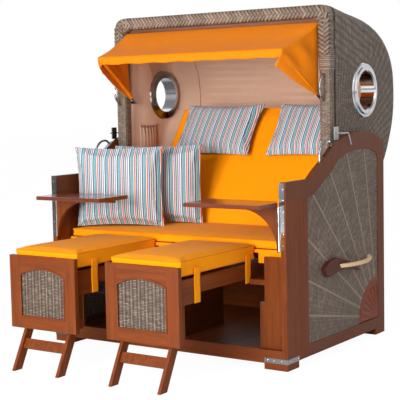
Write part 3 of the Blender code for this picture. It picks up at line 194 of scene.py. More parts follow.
all_off()
bpy.ops.mesh.primitive_plane_add(size=FLOOR_SIZE, location=(0.0, 0.0, 0.0))
floor = bpy.context.object
floor.name = "studio_floor"
floor_paint = bpy.data.materials.new("floor_paint")
tree = nodes_of(floor_paint)
matt = place_node(tree, "ShaderNodeBsdfDiffuse", {
    "Color": mixed(tree, noise(tree, own_place(tree), 3.0), FLOOR_DARK, FLOOR_PALE)})
glow = place_node(tree, "ShaderNodeEmission", {"Strength": FLOOR_GLOW})
seen = place_node(tree, "ShaderNodeLightPath").outputs["Is Camera Ray"]
blend_floor = place_node(tree, "ShaderNodeMixShader", {
    0: sum_up(tree, "MULTIPLY", seen, GLOW_SHARE), 1: matt.outputs[0], 2: glow.outputs[0]})
place_node(tree, "ShaderNodeOutputMaterial", {"Surface": blend_floor.outputs[0]})
floor.data.materials.append(floor_paint)


# The timber. Posts, rails, panels, boards, boxes and legs are of solid mahogany-like wood, glued
# and screwed, stained a reddish brown and varnished. The grain runs along each board.
WOOD_LIGHT = srgb(144, 72, 25)
WOOD_DARK = srgb(80, 34, 9)
WOOD_RED = srgb(116, 50, 15)
WOOD_EDGE_PALE = srgb(168, 96, 46)
# These darker, greyer colours of the same wood are for the side frames: painted shade for the dimmer side.
SHADED_PALE_SIDE = srgb(122, 68, 40)
SHADED_DEEP_SIDE = srgb(90, 46, 24)
SHADED_RED_SIDE = srgb(108, 56, 34)
EDGE_ROUND = 0.0035
GRAIN_DEPTH = 0.0006
UNSCALED = (1.0, 1.0, 1.0)
ALONG_X = (0.0, 0.0, 0.0)
ALONG_Y = (0.0, 0.0, pi / 2)
ALONG_Z = (0.0, pi / 2, 0.0)
BOTTOM_RAIL_TOP = 0.086
REST_MIDDLE = 0.272
STILE_EDGE = 0.126


def new_group(name, **takes):
    """A group of nodes that takes some values and puts out a colour, a roughness and a height."""
    tree = bpy.data.node_groups.new(name, "ShaderNodeTree")
    for title, kind in takes.items():
        tree.interface.new_socket(title, in_out="INPUT", socket_type="NodeSocket" + kind)
    for title, kind in (("Colour", "Color"), ("Roughness", "Float"), ("Height", "Float")):
        tree.interface.new_socket(title, in_out="OUTPUT", socket_type="NodeSocket" + kind)
    return tree, place_node(tree, "NodeGroupInput").outputs


def put_out(tree, colour, roughness, height):
    place_node(tree, "NodeGroupOutput", {"Colour": colour, "Roughness": roughness, "Height": height})


def use_group(tree, group, **values):
    made = place_node(tree, "ShaderNodeGroup", node_tree=group)
    for title, value in values.items():
        feed(made.inputs[title], value)
    return [made.outputs[title] for title in ("Colour", "Roughness", "Height")]


def finish(name, slot, levels=None):
    """A material for one slot, with its nodes and its shader set to the levels given."""
    made = bpy.data.materials.new(name)
    made["slot"] = slot
    tree = nodes_of(made)
    shader = place_node(tree, "ShaderNodeBsdfPrincipled", levels)
    place_node(tree, "ShaderNodeOutputMaterial", {"Surface": shader.outputs[0]})
    return made, tree, shader


def surface(shader, colour, roughness, height, depth, strength, normal=None):
    """Feeds a shader its colour, its roughness and a relief of so many metres."""
    bump = place_node(shader.id_data, "ShaderNodeBump", {
        "Strength": strength, "Distance": depth, "Height": height})
    if normal is not None:
        feed(bump.inputs["Normal"], normal)
    for title, value in (("Base Color", colour), ("Roughness", roughness), ("Normal", bump.outputs[0])):
        feed(shader.inputs[title], value)


def rounding(tree, radius, samples):
    return place_node(tree, "ShaderNodeBevel", {"Radius": radius}, samples=samples).outputs[0]


timber_grain, takes = new_group("timber_grain", Vector="Vector", Light="Color", Dark="Color", Red="Color")
tree, vector = timber_grain, takes["Vector"]
streaks = noise(tree, stretched(tree, vector, (3.0, 62.0, 62.0)), 1.0, 5.0, 0.62, 0.5)
broad = noise(tree, stretched(tree, vector, (0.9, 7.0, 7.0)), 1.0, 2.0, 0.5, 0.8)
pores = spread(tree, noise(tree, stretched(tree, vector, (24.0, 520.0, 520.0))), 0.56, 0.72)
tone = mixed(tree, spread(tree, streaks, 0.28, 0.74, 0.15, 0.85), takes["Dark"], takes["Light"])
tone = mixed(tree, spread(tree, broad, 0.35, 0.7, 0.0, 0.6), tone, takes["Red"])
tone = mixed(tree, sum_up(tree, "MULTIPLY", pores, 0.45), tone, takes["Dark"])
height = sum_up(tree, "SUBTRACT", streaks, sum_up(tree, "MULTIPLY", pores, 0.6))
put_out(tree, tone, spread(tree, broad, 0.3, 0.7, 0.30, 0.46), height)


def wood_finish(name, turn, light=WOOD_LIGHT, dark=WOOD_DARK, red=WOOD_RED, upright=None, coat=(0.07, 0.18)):
    """Varnished timber with its grain along one axis, and upright where the mask given says so."""
    made, tree, shader = finish(name, "wood", {
        "Specular IOR Level": 0.16, "Coat Weight": coat[0], "Coat Roughness": coat[1]})
    place = own_place(tree)
    grain_place = stretched(tree, place, UNSCALED, turn)
    if upright is not None:
        choice = place_node(tree, "ShaderNodeMix", {
            0: upright(tree, axes(tree, place)), 4: grain_place,
            5: stretched(tree, place, UNSCALED, ALONG_Z)}, data_type="VECTOR")
        grain_place = choice.outputs[1]
    colour, roughness, height = use_group(
        tree, timber_grain, Vector=grain_place, Light=light, Dark=dark, Red=red)
    rounded = rounding(tree, EDGE_ROUND, 4)
    flat = place_node(tree, "ShaderNodeNewGeometry").outputs["Normal"]
    match = place_node(tree, "ShaderNodeVectorMath", {0: rounded, 1: flat}, operation="DOT_PRODUCT")
    edges = spread(tree, match.outputs["Value"], 0.995, 0.85)
    # Along the rounded edges the colour is painted paler, in patches.
    pale_edges = sum_up(tree, "MULTIPLY", edges, spread(tree, noise(tree, place, 18.0, 3.0), 0.42, 0.7, 0.0, 0.55))
    surface(shader, mixed(tree, pale_edges, colour, WOOD_EDGE_PALE), roughness, height, GRAIN_DEPTH, 0.6, rounded)
    return made


def paint(material, *names):
    for name in names:
        for slot in solids[name].material_slots:
            slot.material = material


def both(*stems):
    return [f"{stem}_{side}" for stem in stems for side, hand in SIDES]


def above_rail(tree, parts):
    return sum_up(tree, "GREATER_THAN", parts["Z"], BOTTOM_RAIL_TOP)


def on_stiles(tree, parts):
    off_middle = sum_up(tree, "SUBTRACT", sum_up(tree, "ABSOLUTE", parts["X"]), REST_MIDDLE)
    return sum_up(tree, "GREATER_THAN", sum_up(tree, "ABSOLUTE", off_middle), STILE_EDGE)


wood_across = wood_finish("stained_wood_across", ALONG_X)
wood_deep = wood_finish("stained_wood_deep", ALONG_Y)
wood_upright = wood_finish("stained_wood_upright", ALONG_Z)
# The side frames take the darker, greyer copy of the wood: painted shade.
shaded_side_wood = wood_finish("stained_side_wood_painted_shade", ALONG_Y, SHADED_PALE_SIDE, SHADED_DEEP_SIDE, SHADED_RED_SIDE, above_rail)
wood_framed = wood_finish("stained_wood_framed", ALONG_X, upright=on_stiles)
paint(wood_across, "front_rail", "back_panel", "back_board")
paint(wood_framed, *both("footrest_panel"))
paint(wood_deep, "floor_board", "seat_board", "centre_partition", *both("footrest_box", "handle_block"))
paint(wood_upright, *both("front_post", "leg_frame", "table_bracket", "face_board"))
paint(shaded_side_wood, *both("side_frame"))


# The side panels. Each is woven from flat grey-brown cane round ribs that fan out from the lower
# rear corner, like a sunrise, and is nailed into the groove of the side frame.
CANE = srgb(124, 103, 87)
CANE_PALE = srgb(175, 154, 134)
CANE_DARK = srgb(72, 58, 47)
CANE_RED = srgb(142, 104, 84)
CANE_SHADE_IN_GAPS = srgb(36, 28, 23)
CANE_WIDTH = 0.0070
FAN_FOOT = (0.414, 0.084)
FAN_STEP = radians(3.9)
FAN_CHANGE = 0.46
SPOKE_STEP = radians(11.7)
SPOKE_WIDE = 0.0056


def point_at(tree, x, y):
    return place_node(tree, "ShaderNodeCombineXYZ", {"X": x, "Y": y}).outputs[0]


woven_cane, takes = new_group(
    "woven_cane", Run="Float", Row="Float", Block="Float", Ribbed="Float", Pale="Float")
tree = woven_cane
row = sum_up(tree, "FLOOR", takes["Row"])
across_strand = sum_up(tree, "MULTIPLY_ADD", sum_up(tree, "FRACT", takes["Row"]), 2.0, -1.0)
across_strand = sum_up(tree, "ABSOLUTE", across_strand)
round_strand = sum_up(tree, "SUBTRACT", 1.0, sum_up(tree, "POWER", across_strand, 2.4))
turns = sum_up(tree, "MULTIPLY", sum_up(tree, "ADD", takes["Run"], takes["Block"]), pi)
over = sum_up(tree, "MULTIPLY_ADD", sum_up(tree, "COSINE", turns), 0.5, 0.5)
rib_place = sum_up(tree, "ABSOLUTE", sum_up(tree, "SUBTRACT", sum_up(tree, "FRACT", takes["Run"]), 0.5))
at_rib = sum_up(tree, "MULTIPLY", spread(tree, over, 0.34, 0.1), spread(tree, rib_place, 0.38, 0.47))
strand = sum_up(tree, "MULTIPLY", round_strand, sum_up(tree, "MULTIPLY_ADD", over, 0.55, 0.45))
height = sum_up(tree, "MAXIMUM", strand, sum_up(tree, "MULTIPLY", at_rib, 0.8))
# In the valleys between the ribs the height drops, which below also paints them darker: painted shade.
valley = sum_up(tree, "MULTIPLY", spread(tree, rib_place, 0.30, 0.04), takes["Ribbed"])
height = sum_up(tree, "MULTIPLY_ADD", valley, -0.5, height)
piece_of_row = sum_up(tree, "FLOOR", sum_up(tree, "MULTIPLY_ADD", row, 0.37, takes["Run"]))
chance = place_node(tree, "ShaderNodeTexWhiteNoise", {
    "Vector": point_at(tree, row, piece_of_row)}, noise_dimensions="2D").outputs["Value"]
fibre_place = point_at(tree, takes["Run"], takes["Row"])
long_change = noise(tree, stretched(tree, fibre_place, (0.55, 1.9, 1.0)))
fibres = noise(tree, stretched(tree, fibre_place, (1.6, 9.0, 1.0)), 1.0, 3.0, 0.6)
tone = mixed(tree, spread(tree, long_change, 0.36, 0.66), CANE_DARK, CANE)
for low, high, most, colour in (
        (0.60, 0.95, 0.55, CANE_PALE), (0.46, 0.16, 0.6, CANE_DARK), (0.14, 0.04, 0.5, CANE_RED)):
    tone = mixed(tree, spread(tree, chance, low, high, 0.0, most), tone, colour)
tone = mixed(tree, spread(tree, fibres, 0.42, 0.7, 0.0, 0.5), tone, CANE_PALE)
tone = mixed(tree, sum_up(tree, "MULTIPLY", at_rib, takes["Pale"]), tone, CANE_PALE)
# Where the weave lies low, between and under the strands and in the valleys, its colour is pulled towards the
# dark gap colour: painted shade in the recesses.
deep = sum_up(tree, "MULTIPLY", spread(tree, height, 0.62, 0.06), 0.88)
put_out(tree, mixed(tree, deep, tone, CANE_SHADE_IN_GAPS), spread(tree, fibres, 0.3, 0.7, 0.42, 0.62), height)


def polar(tree, first, second, centre):
    """Angle and distance of a point in one plane round a centre."""
    right = sum_up(tree, "SUBTRACT", first, centre[0])
    up = sum_up(tree, "SUBTRACT", second, centre[1])
    squares = sum_up(tree, "ADD", sum_up(tree, "MULTIPLY", right, right), sum_up(tree, "MULTIPLY", up, up))
    return sum_up(tree, "ARCTAN2", up, right), sum_up(tree, "SQRT", squares)


def fan_weave(tree, parts, centre, step, change):
    """Strands in rings round a centre, over ribs that fan out from it, twice as many past a distance."""
    angle, reach = polar(tree, parts["Y"], parts["Z"], centre)
    far = sum_up(tree, "GREATER_THAN", reach, change)
    ribs = sum_up(tree, "MULTIPLY", sum_up(tree, "DIVIDE", angle, step), sum_up(tree, "ADD", far, 1.0))
    row = sum_up(tree, "DIVIDE", reach, CANE_WIDTH)
    return ribs, row, sum_up(tree, "FLOOR", row)


def spokes(tree, parts, centre, step, wide):
    """Stout pairs of pale ribs that fan out from a centre."""
    angle, reach = polar(tree, parts["Y"], parts["Z"], centre)
    place = sum_up(tree, "SUBTRACT", sum_up(tree, "FRACT", sum_up(tree, "DIVIDE", angle, step)), 0.5)
    away = sum_up(tree, "MULTIPLY", sum_up(tree, "MULTIPLY", sum_up(tree, "ABSOLUTE", place), step), reach)
    near = spread(tree, away, wide, wide * 0.6)
    between = spread(tree, away, wide * 0.25, wide * 0.05, 0.0, 0.8)
    return sum_up(tree, "SUBTRACT", near, between)


def cane_finish(name, weave, depth, ribbed=0.0, pale=0.6, spoke=None):
    """Woven cane. The weave says how far along its strand a point is, in which row, over which ribs."""
    made, tree, shader = finish(name, "wicker")
    parts = axes(tree, own_place(tree))
    run, row, block = weave(tree, parts)
    colour, roughness, height = use_group(
        tree, woven_cane, Run=run, Row=row, Block=block, Ribbed=ribbed, Pale=pale)
    stain = noise(tree, own_place(tree), 5.0, 3.0)
    colour = mixed(tree, spread(tree, stain, 0.4, 0.75, 0.0, 0.35), colour, CANE_DARK)
    if spoke is not None:
        ribs = spokes(tree, parts, *spoke)
        colour = mixed(tree, sum_up(tree, "MULTIPLY", ribs, 0.75), colour, CANE_PALE)
        height = sum_up(tree, "MAXIMUM", height, sum_up(tree, "MULTIPLY", ribs, 1.2))
    surface(shader, colour, roughness, height, depth, 0.9)
    return made


def side_weave(tree, parts):
    return fan_weave(tree, parts, FAN_FOOT, FAN_STEP, FAN_CHANGE)


side_cane = cane_finish("woven_side_cane", side_weave, 0.0030, spoke=(FAN_FOOT, SPOKE_STEP, SPOKE_WIDE))
paint(side_cane, *both("side_wicker"))


# The seat cushion. One foam pad as wide as the seat, in a zipped cover of orange canvas with a
# welted seam round its top and bottom. It lies loose on the seat board.
ORANGE = srgb(255, 158, 0)
ORANGE_DEEP = srgb(246, 136, 0)
WELT_ORANGE = srgb(240, 138, 8)
WELT_DEEP = srgb(214, 106, 0)
WELT_RADIUS = 0.0026
SEAM_CORNER = 0.02
PAD_EDGE = 0.009
FILL_PRESSURE = 4.0
FILL_MOMENTS = 20

woven_canvas, takes = new_group("woven_canvas", Vector="Vector", Colour="Color", Deep="Color")
tree, vector = woven_canvas, takes["Vector"]
warp = noise(tree, stretched(tree, vector, (1400.0, 60.0, 1400.0)), 1.0, 1.0)
weft = noise(tree, stretched(tree, vector, (60.0, 1400.0, 60.0)), 1.0, 1.0)
threads = sum_up(tree, "MAXIMUM", warp, weft)
slubs = noise(tree, stretched(tree, vector, (30.0, 260.0, 260.0)))
crease = noise(tree, stretched(tree, vector, (9.0, 9.0, 9.0)), 1.0, 3.0, 0.5, 0.7)
shade = sum_up(tree, "ADD", spread(tree, slubs, 0.45, 0.75, 0.0, 0.09),
               spread(tree, threads, 0.52, 0.68, 0.22, 0.0))
put_out(tree, mixed(tree, shade, takes["Colour"], takes["Deep"]),
        spread(tree, threads, 0.45, 0.65, 0.86, 0.72), sum_up(tree, "MULTIPLY_ADD", threads, 0.12, crease))


def on_cut(tree):
    """Where a point of a cloth lay when it was cut."""
    return place_node(tree, "ShaderNodeAttribute", attribute_name="cut").outputs["Vector"]


def cloth_finish(name, slot, colour, deep, relief=0.0035, soft=None):
    """Woven canvas on the piece's own cut; soft evens out the shading of a curve over that many metres."""
    made, tree, shader = finish(name, slot, {
        "Sheen Weight": 0.04, "Sheen Roughness": 0.45, "Specular IOR Level": 0.12})
    weave = use_group(tree, woven_canvas, Vector=on_cut(tree), Colour=colour, Deep=deep)
    surface(shader, *weave, relief, 0.8, None if soft is None else rounding(tree, soft, 6))
    return made


orange_canvas = cloth_finish("orange_canvas", "orange_fabric", ORANGE, ORANGE_DEEP)
orange_welt = cloth_finish("orange_welt", "orange_fabric", WELT_ORANGE, WELT_DEEP, 0.001)


def only(piece):
    all_off()
    piece.select_set(True)
    bpy.context.view_layer.objects.active = piece


def modified(piece, kind, **settings):
    """Puts a modifier on a piece and applies it."""
    only(piece)
    made = piece.modifiers.new(kind.lower(), kind)
    for name, value in settings.items():
        setattr(made, name, value)
    bpy.ops.object.modifier_apply(modifier=made.name)
    return piece


def one_cover(name, cuts):
    all_off()
    bpy.ops.mesh.primitive_cube_add(size=1.0)
    cover = bpy.context.object
    cover.name = cover.data.name = name
    bpy.ops.object.mode_set(mode="EDIT")
    bpy.ops.mesh.subdivide(number_cuts=cuts)
    bpy.ops.object.mode_set(mode="OBJECT")
    return cover


def fill_cover(cover, voxel, cap):
    """Blows the sewn cover up from inside as cloth, and lets no point of it move further than cap."""
    only(cover)
    cover.data.remesh_voxel_size = voxel
    bpy.ops.object.voxel_remesh()
    empty = [vert.co.copy() for vert in cover.data.vertices]
    filling = cover.modifiers.new("filling", "CLOTH")
    filling.settings.use_pressure = True
    filling.settings.uniform_pressure_force = FILL_PRESSURE
    filling.settings.effector_weights.gravity = 0.0
    for moment in range(1, FILL_MOMENTS + 1):
        bpy.context.scene.frame_set(moment)
    bpy.ops.object.modifier_apply(modifier="filling")
    bpy.context.scene.frame_set(1)
    for vert, start in zip(cover.data.vertices, empty):
        move = vert.co - start
        if move.length > cap:
            vert.co = start + move.normalized() * cap


def fit_size(cover, size):
    """Brings the filled cover back to the length, width and height that it was sewn for."""
    spans = []
    for axis in range(3):
        values = [vert.co[axis] for vert in cover.data.vertices]
        spans.append((min(values), max(values)))
    for vert in cover.data.vertices:
        for axis, (low, high) in enumerate(spans):
            vert.co[axis] = ((vert.co[axis] - low) / (high - low) - 0.5) * size[axis]


def lay(piece, place=Matrix(), smooth=True):
    """Keeps where each point was cut from the cloth for the weave, and puts the piece in its place."""
    cut = piece.data.attributes.new("cut", "FLOAT_VECTOR", "POINT")
    for spot, vert in zip(cut.data, piece.data.vertices):
        spot.vector = vert.co
    piece.data.transform(place)
    if smooth:
        piece.data.shade_smooth()
    return piece


def dress(piece, material, body):
    piece.data.materials.clear()
    piece.data.materials.append(material)
    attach(piece, body)


def box_pad(name, size, sewn_less, crown, waist, voxel, cap, filled_less):
    """A filled box cushion, flat and centred: the faces crown, the sides draw in, and the corners are
    round. It is sewn, and then filled, to a little less than size."""
    width, length, height = (whole - less for whole, less in zip(size, sewn_less))
    cover = one_cover(name, 9)
    for vert in cover.data.vertices:
        u, v, w = (2 * value for value in vert.co)
        dome = (1 - abs(u) ** 6) * (1 - abs(v) ** 6)
        pull = 1 - w * w
        corner = max(abs(u), abs(v)) > 0.99
        vert.co.x = u * (width / 2 - waist * pull * corner) * (1 - 0.010 * v * v)
        vert.co.y = v * (length / 2 - waist * pull * corner) * (1 - 0.010 * u * u)
        vert.co.z = w * (height / 2 - crown + crown * dome)
    modified(cover, "BEVEL", width=PAD_EDGE, segments=3, limit_method="ANGLE")
    fill_cover(cover, voxel, cap)
    fit_size(cover, Vector(size) - Vector(filled_less))
    return cover


def rounded_loop(width, length, radius, steps=6):
    """A rectangle with round corners, as points in its own plane."""
    points = []
    for turn, (right, up) in enumerate(((1, 1), (-1, 1), (-1, -1), (1, -1))):
        centre = Vector((right * (width / 2 - radius), up * (length / 2 - radius)))
        for step in range(steps + 1):
            angle = pi / 2 * (turn + step / steps)
            points.append(centre + radius * Vector((cos(angle), sin(angle))))
    return points


def cord_along(name, points, radius, closed=True, sides=2):
    """A round cord swept along points, as a mesh."""
    curve = bpy.data.curves.new(name, "CURVE")
    curve.dimensions = "3D"
    curve.bevel_depth = radius
    curve.bevel_resolution = sides
    curve.use_fill_caps = not closed
    line = curve.splines.new("POLY")
    line.points.add(len(points) - 1)
    for knot, point in zip(line.points, points):
        knot.co = (*point, 1.0)
    line.use_cyclic_u = closed
    only(added(name, curve))
    bpy.ops.object.convert(target="MESH")
    return bpy.context.object


def welts(name, cover, size, levels, place=Matrix()):
    """Cords in the seams round both faces of a filled cushion, at shares of its height."""
    cords = []
    for title, level in levels:
        loop = [Vector((point.x, point.y, level * size[2])) for point in rounded_loop(*size[:2], SEAM_CORNER)]
        points = [cover.closest_point_on_mesh(first.lerp(second, share))[1]
                  for first, second in zip(loop, loop[1:] + loop[:1]) for share in (0.0, 0.25, 0.5, 0.75)]
        cords.append(lay(cord_along(f"{name}_{title}", points, WELT_RADIUS), place))
    return cords


def node_middle(name):
    low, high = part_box(name)
    return (low + high) / 2, high - low


middle, size = node_middle("seat_cushion")
seat_pad = box_pad("seat_pad", size, (0.010, 0.010, 0.006), 0.007, 0.004, 0.0095, 0.006, (0.004, 0.004, 0.0015))
seat_place = Matrix.Translation(middle)
for seam in welts("seat_welt", seat_pad, size, (("top", 0.34), ("bottom", -0.40)), seat_place):
    dress(seam, orange_welt, "base")
lay(seat_pad, seat_place)
dress(seat_pad, orange_canvas, "base")
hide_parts("seat_cushion")


# The seat's front apron. The same canvas is pulled over the front edge of the seat board and
# tacked under it, with a way cut out over each footrest. It is drawn up and forward to the pad.
APRON_BASE_Z = 0.447
APRON_STRETCH = 1.12
APRON_FORWARD = 0.004


def weld(piece):
    """Joins the points that lie on each other and turns every face outwards."""
    only(piece)
    bpy.ops.object.mode_set(mode="EDIT")
    bpy.ops.mesh.select_all(action="SELECT")
    bpy.ops.mesh.remove_doubles(threshold=0.00002)
    bpy.ops.mesh.normals_make_consistent(inside=False)
    bpy.ops.object.mode_set(mode="OBJECT")
    return piece


def node_copy(node, name):
    """A piece of the same shape as a CAD solid."""
    return weld(added(name, solids[node].data.copy()))


def soft_copy(node, name, voxel, rounds):
    """A piece of the same shape as a CAD solid, with soft edges."""
    copy = node_copy(node, name)
    copy.data.remesh_voxel_size = voxel
    bpy.ops.object.voxel_remesh()
    return modified(copy, "SMOOTH", iterations=rounds, factor=0.5)


apron = soft_copy("seat_border", "seat_apron", 0.004, 4)
lay(apron, Matrix.Translation((0, -APRON_FORWARD, APRON_BASE_Z))
    @ Matrix.Diagonal((1, 1, APRON_STRETCH, 1)) @ Matrix.Translation((0, 0, -APRON_BASE_Z)))
dress(apron, orange_canvas, "base")
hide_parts("seat_border")


# The back cushion. A thicker pad of the same canvas, buttoned to nothing, which leans on the
# back board inside the hood and goes down with it.
BACK_LEAN = radians(35)
BACK_FOOT = Vector((0.0, 0.016, 0.550))
BACK_LENGTH = 0.710
BACK_THICK = 0.072
BACK_WIDE = 1.000
BACK_LIFT = 0.012
lean = Vector((0.0, sin(BACK_LEAN), cos(BACK_LEAN)))
behind = Vector((0.0, cos(BACK_LEAN), -sin(BACK_LEAN)))


def back_place(along, depth, across=0.0):
    spot = BACK_FOOT + along * lean + depth * behind + Vector((across, 0, 0))
    return placed(Vector((1, 0, 0)), lean, -behind, spot)


size = (BACK_WIDE, BACK_LENGTH - BACK_LIFT, BACK_THICK)
back_pad = box_pad("back_pad", size, (0.012, 0.016, 0.012), 0.010, 0.006, 0.0090, 0.010, (0.006, 0.004, 0.002))
pad_place = back_place(BACK_LENGTH / 2 + BACK_LIFT / 2, BACK_THICK / 2)
for seam in welts("back_welt", back_pad, size, (("front", 0.38), ("rear", -0.38)), pad_place):
    dress(seam, orange_welt, "hood")
lay(back_pad, pad_place)
dress(back_pad, orange_canvas, "hood")
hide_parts("back_cushion")


# The pillows. Two small ones hang from straps on the back cushion and two square ones stand on
# the seat. All are striped cotton with a corded seam, filled so that the corners stick out.
STRIPES = ((0.00, (232, 234, 232)), (0.06, (36, 54, 104)), (0.11, (56, 136, 160)), (0.18, (232, 236, 234)),
           (0.21, (46, 108, 88)), (0.26, (132, 188, 192)), (0.33, (44, 92, 150)), (0.39, (238, 234, 222)),
           (0.44, (222, 132, 100)), (0.50, (156, 44, 56)), (0.54, (238, 232, 224)), (0.58, (74, 132, 174)),
           (0.65, (40, 50, 96)), (0.69, (236, 226, 204)), (0.74, (62, 144, 150)), (0.80, (190, 66, 74)),
           (0.84, (238, 234, 230)), (0.89, (112, 166, 190)), (0.95, (52, 78, 128)), (0.98, (232, 234, 232)))
STRIPE_WORKED = srgb(150, 140, 140)
STRIPE_REPEAT = 0.062
PILLOW_WAIST = 0.94
PILLOW_SEAM_RADIUS = 0.0028
PUCKER_DEPTH = 0.0035
SEAM_STEPS = 24
NECK_SIZE = (0.470, 0.310, 0.085)
NECK_HEIGHT = 0.540
NECK_PRESS = 0.0036
SQUARE_SIZE = (0.445, 0.395, 0.120)
SQUARE_TURN = radians(23)
SQUARE_SINK = 0.0035
SEAT_TOP_Z = 0.560

striped_cotton, tree, shader = finish("striped_cotton", "striped_fabric", {"Sheen Weight": 0.12})
cut = on_cut(tree)
waver = sum_up(tree, "MULTIPLY", noise(tree, cut, 6.0, 1.0), 0.006)
across_cloth = sum_up(tree, "ADD", axes(tree, cut)["X"], waver)
repeat = sum_up(tree, "FRACT", sum_up(tree, "DIVIDE", across_cloth, STRIPE_REPEAT))
ramp = place_node(tree, "ShaderNodeValToRGB", {0: repeat})
ramp.color_ramp.interpolation = "CONSTANT"
while len(ramp.color_ramp.elements) < len(STRIPES):
    ramp.color_ramp.elements.new(0.5)
for mark, (share, colour) in zip(ramp.color_ramp.elements, STRIPES):
    mark.position = share
    mark.color = srgb(*colour)
stripe = ramp.outputs[0]
worked = mixed(tree, 0.16, stripe, STRIPE_WORKED)
surface(shader, *use_group(tree, woven_canvas, Vector=cut, Colour=stripe, Deep=worked), 0.004, 0.8)


def drawn_out(u, v):
    """How much of its half width a pillow keeps at a point of its seam, all of it at the corners."""
    return PILLOW_WAIST + (1 - PILLOW_WAIST) * (u * v) ** 2


def sewn_pillow(name, width, height, thickness):
    """Two squares of cloth sewn together, lying flat and centred, with the corners drawn out."""
    cover = one_cover(name, 11)
    for vert in cover.data.vertices:
        u, v, w = (2 * value for value in vert.co)
        full = ((1 - u * u) * (1 - v * v)) ** 0.42
        vert.co.x = u * width / 2 * drawn_out(u, v)
        vert.co.y = v * height / 2 * drawn_out(u, v)
        vert.co.z = w * thickness / 2 * (0.12 + 0.88 * full)
    return cover


def pucker(cover, width, height):
    """Folds run in from the corners and from the seams, as where cloth is gathered."""
    for vert in cover.data.vertices:
        u, v = 2 * vert.co.x / width, 2 * vert.co.y / height
        side = 1 if vert.co.z > 0 else -1
        push = 0.0
        for right in (-1, 1):
            for up in (-1, 1):
                reach = hypot(u - right, v - up)
                angle = atan2((v - up) * up, (u - right) * right)
                push += sin(9 * angle + right + 2 * up) * 2.7 ** (-reach / 0.30) * min(1.0, reach / 0.12)
        edge = max(abs(u), abs(v))
        run = v if abs(u) > abs(v) else u
        push += 0.5 * sin(23 * run + 4 * side) * max(0.0, edge - 0.62) * 2.0 * (1 - edge)
        vert.co.z += side * PUCKER_DEPTH * push


def pillow_seam(name, width, height, place):
    points = []
    for start, end in (((-1, -1), (1, -1)), ((1, -1), (1, 1)), ((1, 1), (-1, 1)), ((-1, 1), (-1, -1))):
        for step in range(SEAM_STEPS):
            u = start[0] + (end[0] - start[0]) * step / SEAM_STEPS
            v = start[1] + (end[1] - start[1]) * step / SEAM_STEPS
            reach = drawn_out(u, v) * 0.995
            points.append(Vector((u * width / 2 * reach, v * height / 2 * reach, 0.0)))
    return lay(cord_along(name, points, PILLOW_SEAM_RADIUS), place)


def whole_pillow(name, node, width, height, thickness, place, body, gives_way=False):
    cover = sewn_pillow(name, width - 0.010, height - 0.010, thickness - 0.014)
    fill_cover(cover, 0.0060, 0.012)
    pucker(cover, width, height)
    fit_size(cover, Vector((width - 0.002, height - 0.002, thickness - 0.003)))
    seam = pillow_seam(name + "_seam", width - 0.006, height - 0.006, place)
    dress(seam, striped_cotton, body)
    lay(cover, place)
    dress(cover, striped_cotton, body)
    if gives_way:
        for piece in (cover, seam):
            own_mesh(piece)
    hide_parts(node)


for side, across_at, plumped in (("left", -0.190, 1.0), ("right", 0.352, 0.88)):
    whole_pillow("neck_rest_" + side, "neck_pillow_" + side, NECK_SIZE[0] * plumped, NECK_SIZE[1], NECK_SIZE[2],
                 back_place(NECK_HEIGHT, NECK_PRESS - NECK_SIZE[2] / 2, across_at), "hood")
stood_up = Matrix.Rotation(SQUARE_TURN, 4, "Z") @ Matrix.Rotation(pi / 2, 4, "X")
for place_name, right, back in (("front", -0.398, -0.275), ("rear", -0.295, -0.090)):
    spot = (right, back, SEAT_TOP_Z + SQUARE_SIZE[1] / 2 - SQUARE_SINK)
    whole_pillow("square_" + place_name, "square_pillow_" + place_name, *SQUARE_SIZE,
                 Matrix.Translation(spot) @ stood_up, "base", gives_way=place_name == "rear")

# The hood's shell. The same cane is woven over a bent frame. On the cheeks the ribs fan out from
# the front foot, with a field of wide basket blocks at the top, and the roof is woven across.
HOOD_HALF = 0.625
HOOD_FAN_FOOT = (0.060, 0.800)
HOOD_FAN_STEP = radians(6.4)
HOOD_FAN_CHANGE = 0.30
BLOCK_LONG = 0.058
BLOCK_HIGH = 0.036
BLOCK_STEP = 0.045
ROOF_CENTRE = (0.250, 1.050)
ROOF_RIB = 0.026
ROOF_REACH = 0.48


def choose(tree, share, first, second):
    return sum_up(tree, "MULTIPLY_ADD", share, sum_up(tree, "SUBTRACT", second, first), first)


def hood_weave(tree, parts):
    y, z = parts["Y"], parts["Z"]
    run, row, block = fan_weave(tree, parts, HOOD_FAN_FOOT, HOOD_FAN_STEP, HOOD_FAN_CHANGE)
    step = sum_up(tree, "FLOOR", sum_up(tree, "DIVIDE", y, BLOCK_STEP))
    step = sum_up(tree, "MULTIPLY", step, BLOCK_STEP)
    falling = sum_up(tree, "MULTIPLY_ADD", step, -0.42, 1.371)
    rising = sum_up(tree, "MULTIPLY_ADD", step, 1.3, 0.86)
    in_blocks = sum_up(tree, "GREATER_THAN", z, sum_up(tree, "MAXIMUM", falling, rising))
    slant = sum_up(tree, "MULTIPLY_ADD", y, 0.35, z)
    field = sum_up(tree, "FLOOR", sum_up(tree, "DIVIDE", y, BLOCK_LONG))
    run = choose(tree, in_blocks, run, sum_up(tree, "DIVIDE", slant, BLOCK_HIGH))
    row = choose(tree, in_blocks, row, sum_up(tree, "DIVIDE", y, CANE_WIDTH))
    block = choose(tree, in_blocks, block, field)
    roof_row = sum_up(tree, "MULTIPLY", polar(tree, y, z, ROOF_CENTRE)[0], ROOF_REACH / CANE_WIDTH)
    on_roof = sum_up(tree, "LESS_THAN", sum_up(tree, "ABSOLUTE", parts["X"]), HOOD_HALF - 0.004)
    run = choose(tree, on_roof, run, sum_up(tree, "DIVIDE", parts["X"], ROOF_RIB))
    row = choose(tree, on_roof, row, roof_row)
    return run, row, choose(tree, on_roof, block, sum_up(tree, "FLOOR", roof_row))


hood_cane = cane_finish("woven_hood_cane", hood_weave, 0.0030, ribbed=0.75, pale=0.15)
paint(hood_cane, "hood_shell")


